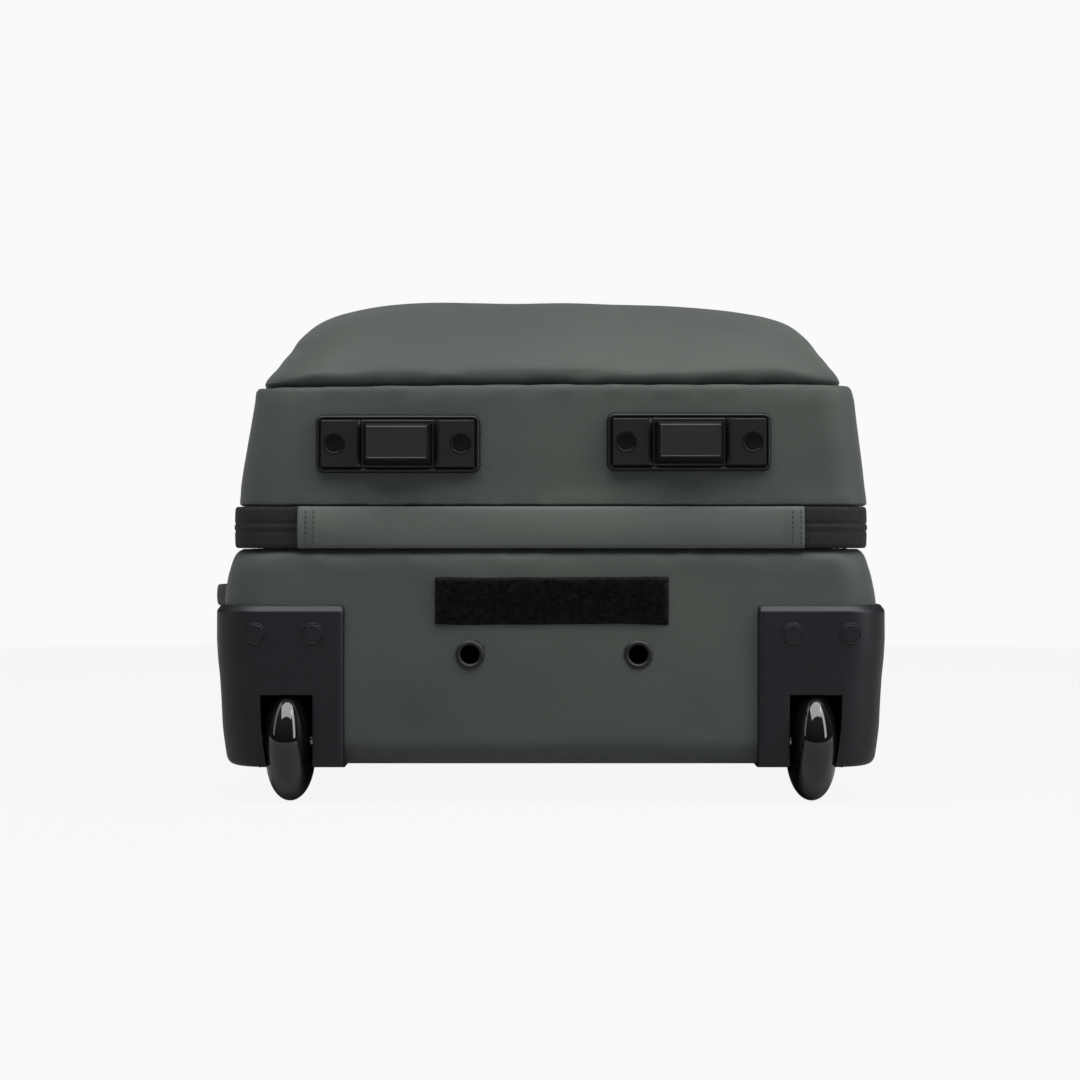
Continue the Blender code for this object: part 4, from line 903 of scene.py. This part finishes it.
t = np.linspace(np.radians(16), np.radians(164), 61)
tread = np.stack([-0.0121 * np.cos(t), 0.012 + 0.020 * np.sin(t)], axis=1)
tread = np.concatenate([[(-0.0112, 0.0174)], tread, [(0.0112, 0.0174)]])
half_core = rounded([
    (-0.0115, 0.0174), (-0.0095, 0.0168), (-0.0070, 0.0150), (-0.0066, 0.0088), (-0.0090, 0.0076),
    (-0.0106, 0.0062), (-0.0106, 0.0031),
], 0.0008)
urethane = plain("polished black urethane", "#08090A", 0.05, grain=0.004, depth=0.00001)
steel = plain("bright steel", "#E4E5E6", 0.20, Metallic=1.0)
for name, s in SIDES:
    centre = (s * WHEEL_X, AXLE_Y, AXLE_Z)
    wheel = f"wheel_{name}"
    put(
        f"wheel_tread_{name}", [turned(tread, centre, "X", 128)], urethane, wheel,
        replaces=[f"tread_{name}"],
    )
    core = [turned(half_core * (k, 1), centre, "X", 64) for k in (1, -1)]
    put(f"core_{name}", core, moulded, wheel, replaces=[f"wheel_core_{name}"])
    rod = rounded([(-0.0137, 0), (-0.0137, 0.0034), (0.0137, 0.0034), (0.0137, 0)], 0.0002)
    put(f"axle_rod_{name}", [turned(rod, centre, "X", 40)], steel, replaces=[f"axle_{name}"])


# ---- Pull handle ----
# Its grip lies in a moulded cup in the top panel, on two aluminium tubes that slide in two others. A button
# in the grip's outer face frees them.


def block(low, high, edge, corner, steps=6, step=0.0015):
    """A block with rounded edges: rounded rectangles stacked along Z, which draw in along a quarter circle
    at both ends and are closed by shrinking rings."""
    low, high = np.array(low, float), np.array(high, float)
    half = (high - low) / 2
    a = np.linspace(0, np.pi / 2, steps)
    inset = edge * np.r_[1 - np.sin(a), 1 - np.sin(a)[::-1]]
    z = np.r_[-half[2] + edge * (1 - np.cos(a)), half[2] - edge * (1 - np.cos(a))[::-1]]
    r = np.maximum(corner - inset, 0.0002)
    p, u = rings(z, half[0] - inset, -half[1] + inset, half[1] - inset, r, r, step)
    p = np.concatenate([cap(p[0], 5)[::-1][:-1], p, cap(p[-1], 5)[1:]])
    return p + (low + high) / 2


def dress(material, *nodes):
    """Gives a material to nodes of the frame that stay as they are."""
    for node in nodes:
        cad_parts[node].material_slots[0].material = material


aluminium = plain("anodised aluminium", "#9EA0A4", 0.30, Metallic=1.0)
dress(aluminium, *(f"{tube}_tube_{i}" for tube in ("outer", "middle", "inner") for i in ("left", "right")))
dress(moulded, "tube_foot")


def bag_box(node):
    """A node's box corners in the bag's own frame."""
    return [np.array(corner) - (BAG_X, BAG_Y, 0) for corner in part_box(node)]


low, high = bag_box("grip")
put(
    "grip_bar", [(block(low, high, 0.0045, 0.0060), None, None)], moulded,
    "handle_top", replaces=["grip"],
)
low, high = bag_box("grip_button")
satin = plain("satin black button", "#1A1B1D", 0.30)
put(
    "release_button", [(block(low, high + (0, 0.0006, 0), 0.0007, 0.0020, step=0.0006), None, None)], satin,
    "handle_button", replaces=["grip_button"],
)

cup_rows = rounded(
    [
        (0.5150, 0, 0), (0.5175, 0, 0), (0.5175, 0.0072, 0), (0.4815, 0.0086, 1), (0.4795, 0.0105, 1),
        (0.4795, 0.0120, 1),
    ],
    (0, 0.0012, 0.0012, 0.0030, 0.0010, 0),
)
depth, inset, _ = cup_rows.T
radius = 0.0095 - 0.4 * inset
p, _ = rings(depth, 0.0865 - inset, 0.0240 + inset * 0.55, 0.0864 - inset, radius, radius, 0.002)
cup = np.concatenate([p, cap(p[-1], 10)[1:]])[..., [0, 2, 1]]
put("cup", [(cup, None, None)], moulded, replaces=["handle_cup"], wall=0.0012)


# ---- Carrying handles ----
# Black polyester webbing: a wide one across the top panel, and one on the left side of the back section
# that is folded to half its width where the hand goes. Their ends are sewn flat, the top one's with a box
# of stitches.


def strap(path, across, width, thickness, around=28, square=0.25):
    """A flat strap: at each point of path a rounded rectangle that lies on the path, with its width along
    across and its thickness to the strap's left, closed at both ends. The outline is a cosine to the power
    square by a sine to the power 0.6, so a larger power makes it rounder. Also its UV, in metres along and
    round it."""
    path = np.array(path, float)
    tangent = np.gradient(path, axis=0)
    across = np.broadcast_to(np.array(across, float), path.shape)
    out = np.cross(tangent, across)
    out /= np.linalg.norm(out, axis=1, keepdims=True)
    a = np.linspace(0, 2 * np.pi, around + 1)
    power = np.broadcast_to(square, len(path))[:, None]
    flat = np.sign(np.cos(a)) * np.abs(np.cos(a)) ** power
    tall = np.sign(np.sin(a)) * np.abs(np.sin(a)) ** 0.6
    width = np.broadcast_to(width, len(path))[:, None, None]
    thickness = np.broadcast_to(thickness, len(path))[:, None, None]
    p = (
        path[:, None] + across[:, None] * flat[:, :, None] * width / 2
        + out[:, None] * (tall[None, :, None] + 1) * thickness / 2
    )
    first, last = (end.mean(axis=1, keepdims=True) + 0 * end for end in (p[:1], p[-1:]))
    p = np.concatenate([first, p, last])
    run = np.r_[0, np.cumsum(np.linalg.norm(np.diff(p.mean(axis=1), axis=0), axis=1))]
    uv = grid(run[:, None], flat[:1] * width.max() / 2)
    return p, uv, None


webbing = tape("black polyester webbing", "#111112")
t = np.linspace(-1, 1, 90)
rise = 0.5 + 0.5 * np.cos(np.pi * np.minimum(1, np.abs(t) / 0.82))
top_y = BODY_LENGTH + 0.0004
grab = np.stack([-0.085 * t, top_y + 0.022 * rise, np.full(90, MAIN_Z + 0.48 * MAIN_DEPTH)], axis=1)
put(
    "top_handle", [strap(grab, (0, 0, 1), 0.030, 0.0036)], webbing,
    replaces=["grab_handle"],
)
for name, s in SIDES:
    x0, x1, y0, z0 = s * 0.0720, s * 0.0835, top_y + 0.0036, grab[0, 2]
    box = np.array([(x0, -1), (x1, -1), (x1, 1), (x0, 1), (x0, -1), (x1, 1), (x1, -1), (x0, 1)])
    seam = np.stack([box[:, 0], np.full(8, y0), z0 + 0.0125 * box[:, 1]], axis=1)
    rows = [stitches(seam, (0, 1, 0), thickness=0.00035)]
    put(f"top_handle_stitches_{name}", rows, sewing)
low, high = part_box("side_handle")
reach = low.x - BAG_X
side_x = -HALF_WIDTH - 0.0004 + (reach + 0.0043 + HALF_WIDTH) * rise
grip_width = 0.025 + (0.013 - 0.025) * np.minimum(1, 2 * rise)
carry = np.stack([side_x, 0.215 + 0.080 * t, np.full(90, (low.z + high.z) / 2)], axis=1)
put(
    "left_handle", [strap(carry, (0, 0, 1), grip_width, -0.0038, square=0.25 + 0.6 * rise)], webbing,
    replaces=["side_handle"],
)


# ---- Back pad and shoulder straps ----
# Foam under black spacer mesh. The bag lies on them: they fill the room between its back panel and the
# floor.


def spacer_mesh(name, colour):
    """Warp-knitted spacer mesh: small round openings about 2 mm apart in a dull knit, sunk into the foam's
    cover."""
    m, t, bsdf = new_material(
        name, Base_Color=linear(colour), Roughness=0.85, Specular_IOR_Level=0.3, Sheen_Weight=0.2
    )
    place = add_node(t, "TexCoord")
    # The openings are painted darker than the knit round them: painted shade inside the holes
    cells = add_node(t, "TexVoronoi", [(place.outputs["Object"], "Vector")], Scale=480.0, Randomness=0.25)
    tone = add_node(t, "MapRange", [(cells.outputs[0], "Value")], From_Max=0.6, To_Min=0.35, To_Max=1.1)
    base = add_node(t, "Mix", [(tone.outputs[0], "B")], data_type="RGBA", blend_type="MULTIPLY", Factor=1.0)
    next(s for s in base.inputs if s.name == "A" and s.enabled).default_value = linear(colour)
    t.links.new(next(s for s in base.outputs if s.enabled), bsdf.inputs["Base Color"])
    emboss(t, bsdf, cells.outputs[0], 0.7, 0.0005)
    return m


def inflated(piece, reach, voxel=0.004):
    """Foam under cloth: the piece is voxel-remeshed and blown up as cloth without gravity over 20 frames.
    No point moves further than reach, and all stay in the piece's first box, so it is flat where bag and
    floor press it."""
    corners = np.array([c[:] for c in piece.bound_box])
    draft = add_object("draft", piece.data.copy())
    voxels = draft.modifiers.new("voxels", "REMESH")
    voxels.mode = "VOXEL"
    voxels.voxel_size = voxel
    blank = bpy.data.meshes.new_from_object(draft.evaluated_get(bpy.context.evaluated_depsgraph_get()))
    draft.modifiers.clear()
    draft.data = blank
    start = np.empty(3 * len(blank.vertices))
    blank.vertices.foreach_get("co", start)
    cloth = draft.modifiers.new("cloth", "CLOTH")
    cloth.settings.use_pressure = True
    cloth.settings.uniform_pressure_force = 4
    cloth.settings.effector_weights.gravity = 0
    frames = range(1, 21)
    cloth.point_cache.frame_start = frames[0]
    cloth.point_cache.frame_end = frames[-1]
    for number in frames:
        scene.frame_set(number)
    blown = draft.evaluated_get(bpy.context.evaluated_depsgraph_get()).data
    end = np.empty_like(start)
    blown.vertices.foreach_get("co", end)
    scene.frame_set(1)
    start, end = start.reshape(-1, 3), end.reshape(-1, 3)
    move = end - start
    far = np.linalg.norm(move, axis=1, keepdims=True)
    shape = start + move * np.minimum(1, reach / np.maximum(far, 1e-9))
    shape = np.clip(shape, corners.min(axis=0), corners.max(axis=0))
    blank.vertices.foreach_set("co", shape.ravel())
    blank.shade_smooth()
    blank.materials.clear()
    blank.materials.append(piece.data.materials[0])
    piece.data = blank
    bpy.data.objects.remove(draft)
    finer = piece.modifiers.new("finer", "SUBSURF")
    finer.levels = finer.render_levels = 1


mesh_cloth = spacer_mesh("black spacer mesh", "#222326")
pad = block(*bag_box("back_pad"), 0.0030, 0.030, step=0.004)
pad_piece = put(
    "pad", [(pad, pad[..., :2].copy(), None)], mesh_cloth, replaces=["back_pad"]
)
inflated(pad_piece, 0.005)
for name, s in SIDES:
    rows = np.array([
        # y, rise of the lower face, width, thickness, all in mm
        (225, 2.1, 34, 6.4), (240, 0.4, 34, 10.6), (262, 0.3, 44, 11.4), (292, 0.3, 60, 11.5),
        (360, 0.3, 60, 11.5), (448, 0.3, 60, 11.5), (462, 0.8, 60, 11.0), (473, 3.6, 60, 9.4),
        (482, 9.0, 60, 6.6), (492, 16.6, 60, 3.2),
    ]) / 1000
    rows = along(rows, 70)
    x = 0.060 + 0.018 * (0.492 - rows[:, 0]) / 0.267
    path = np.stack([s * x, rows[:, 0], rows[:, 1]], axis=1)
    piece = put(
        f"strap_{name}", [strap(path, (-1, 0, 0), rows[:, 2], rows[:, 3], 40)], mesh_cloth,
        replaces=[f"shoulder_strap_{name}"],
    )
    inflated(piece, 0.0012, 0.003)
    dress(moulded, f"strap_adjuster_{name}")
    dress(webbing, f"strap_webbing_{name}")


# ---- Zips ----
# Black painted sliders with pulls of webbing on the band, and the front pocket's own zip near its top end.
# Their shapes are the frame's, and only their materials are set here.

dress(painted_steel, "zip_slider_left", "zip_slider_right", "front_zip_slider")
dress(webbing, "zip_pull_left", "zip_pull_right", "front_zip_pull")
dress(zip_tape, "front_zip")
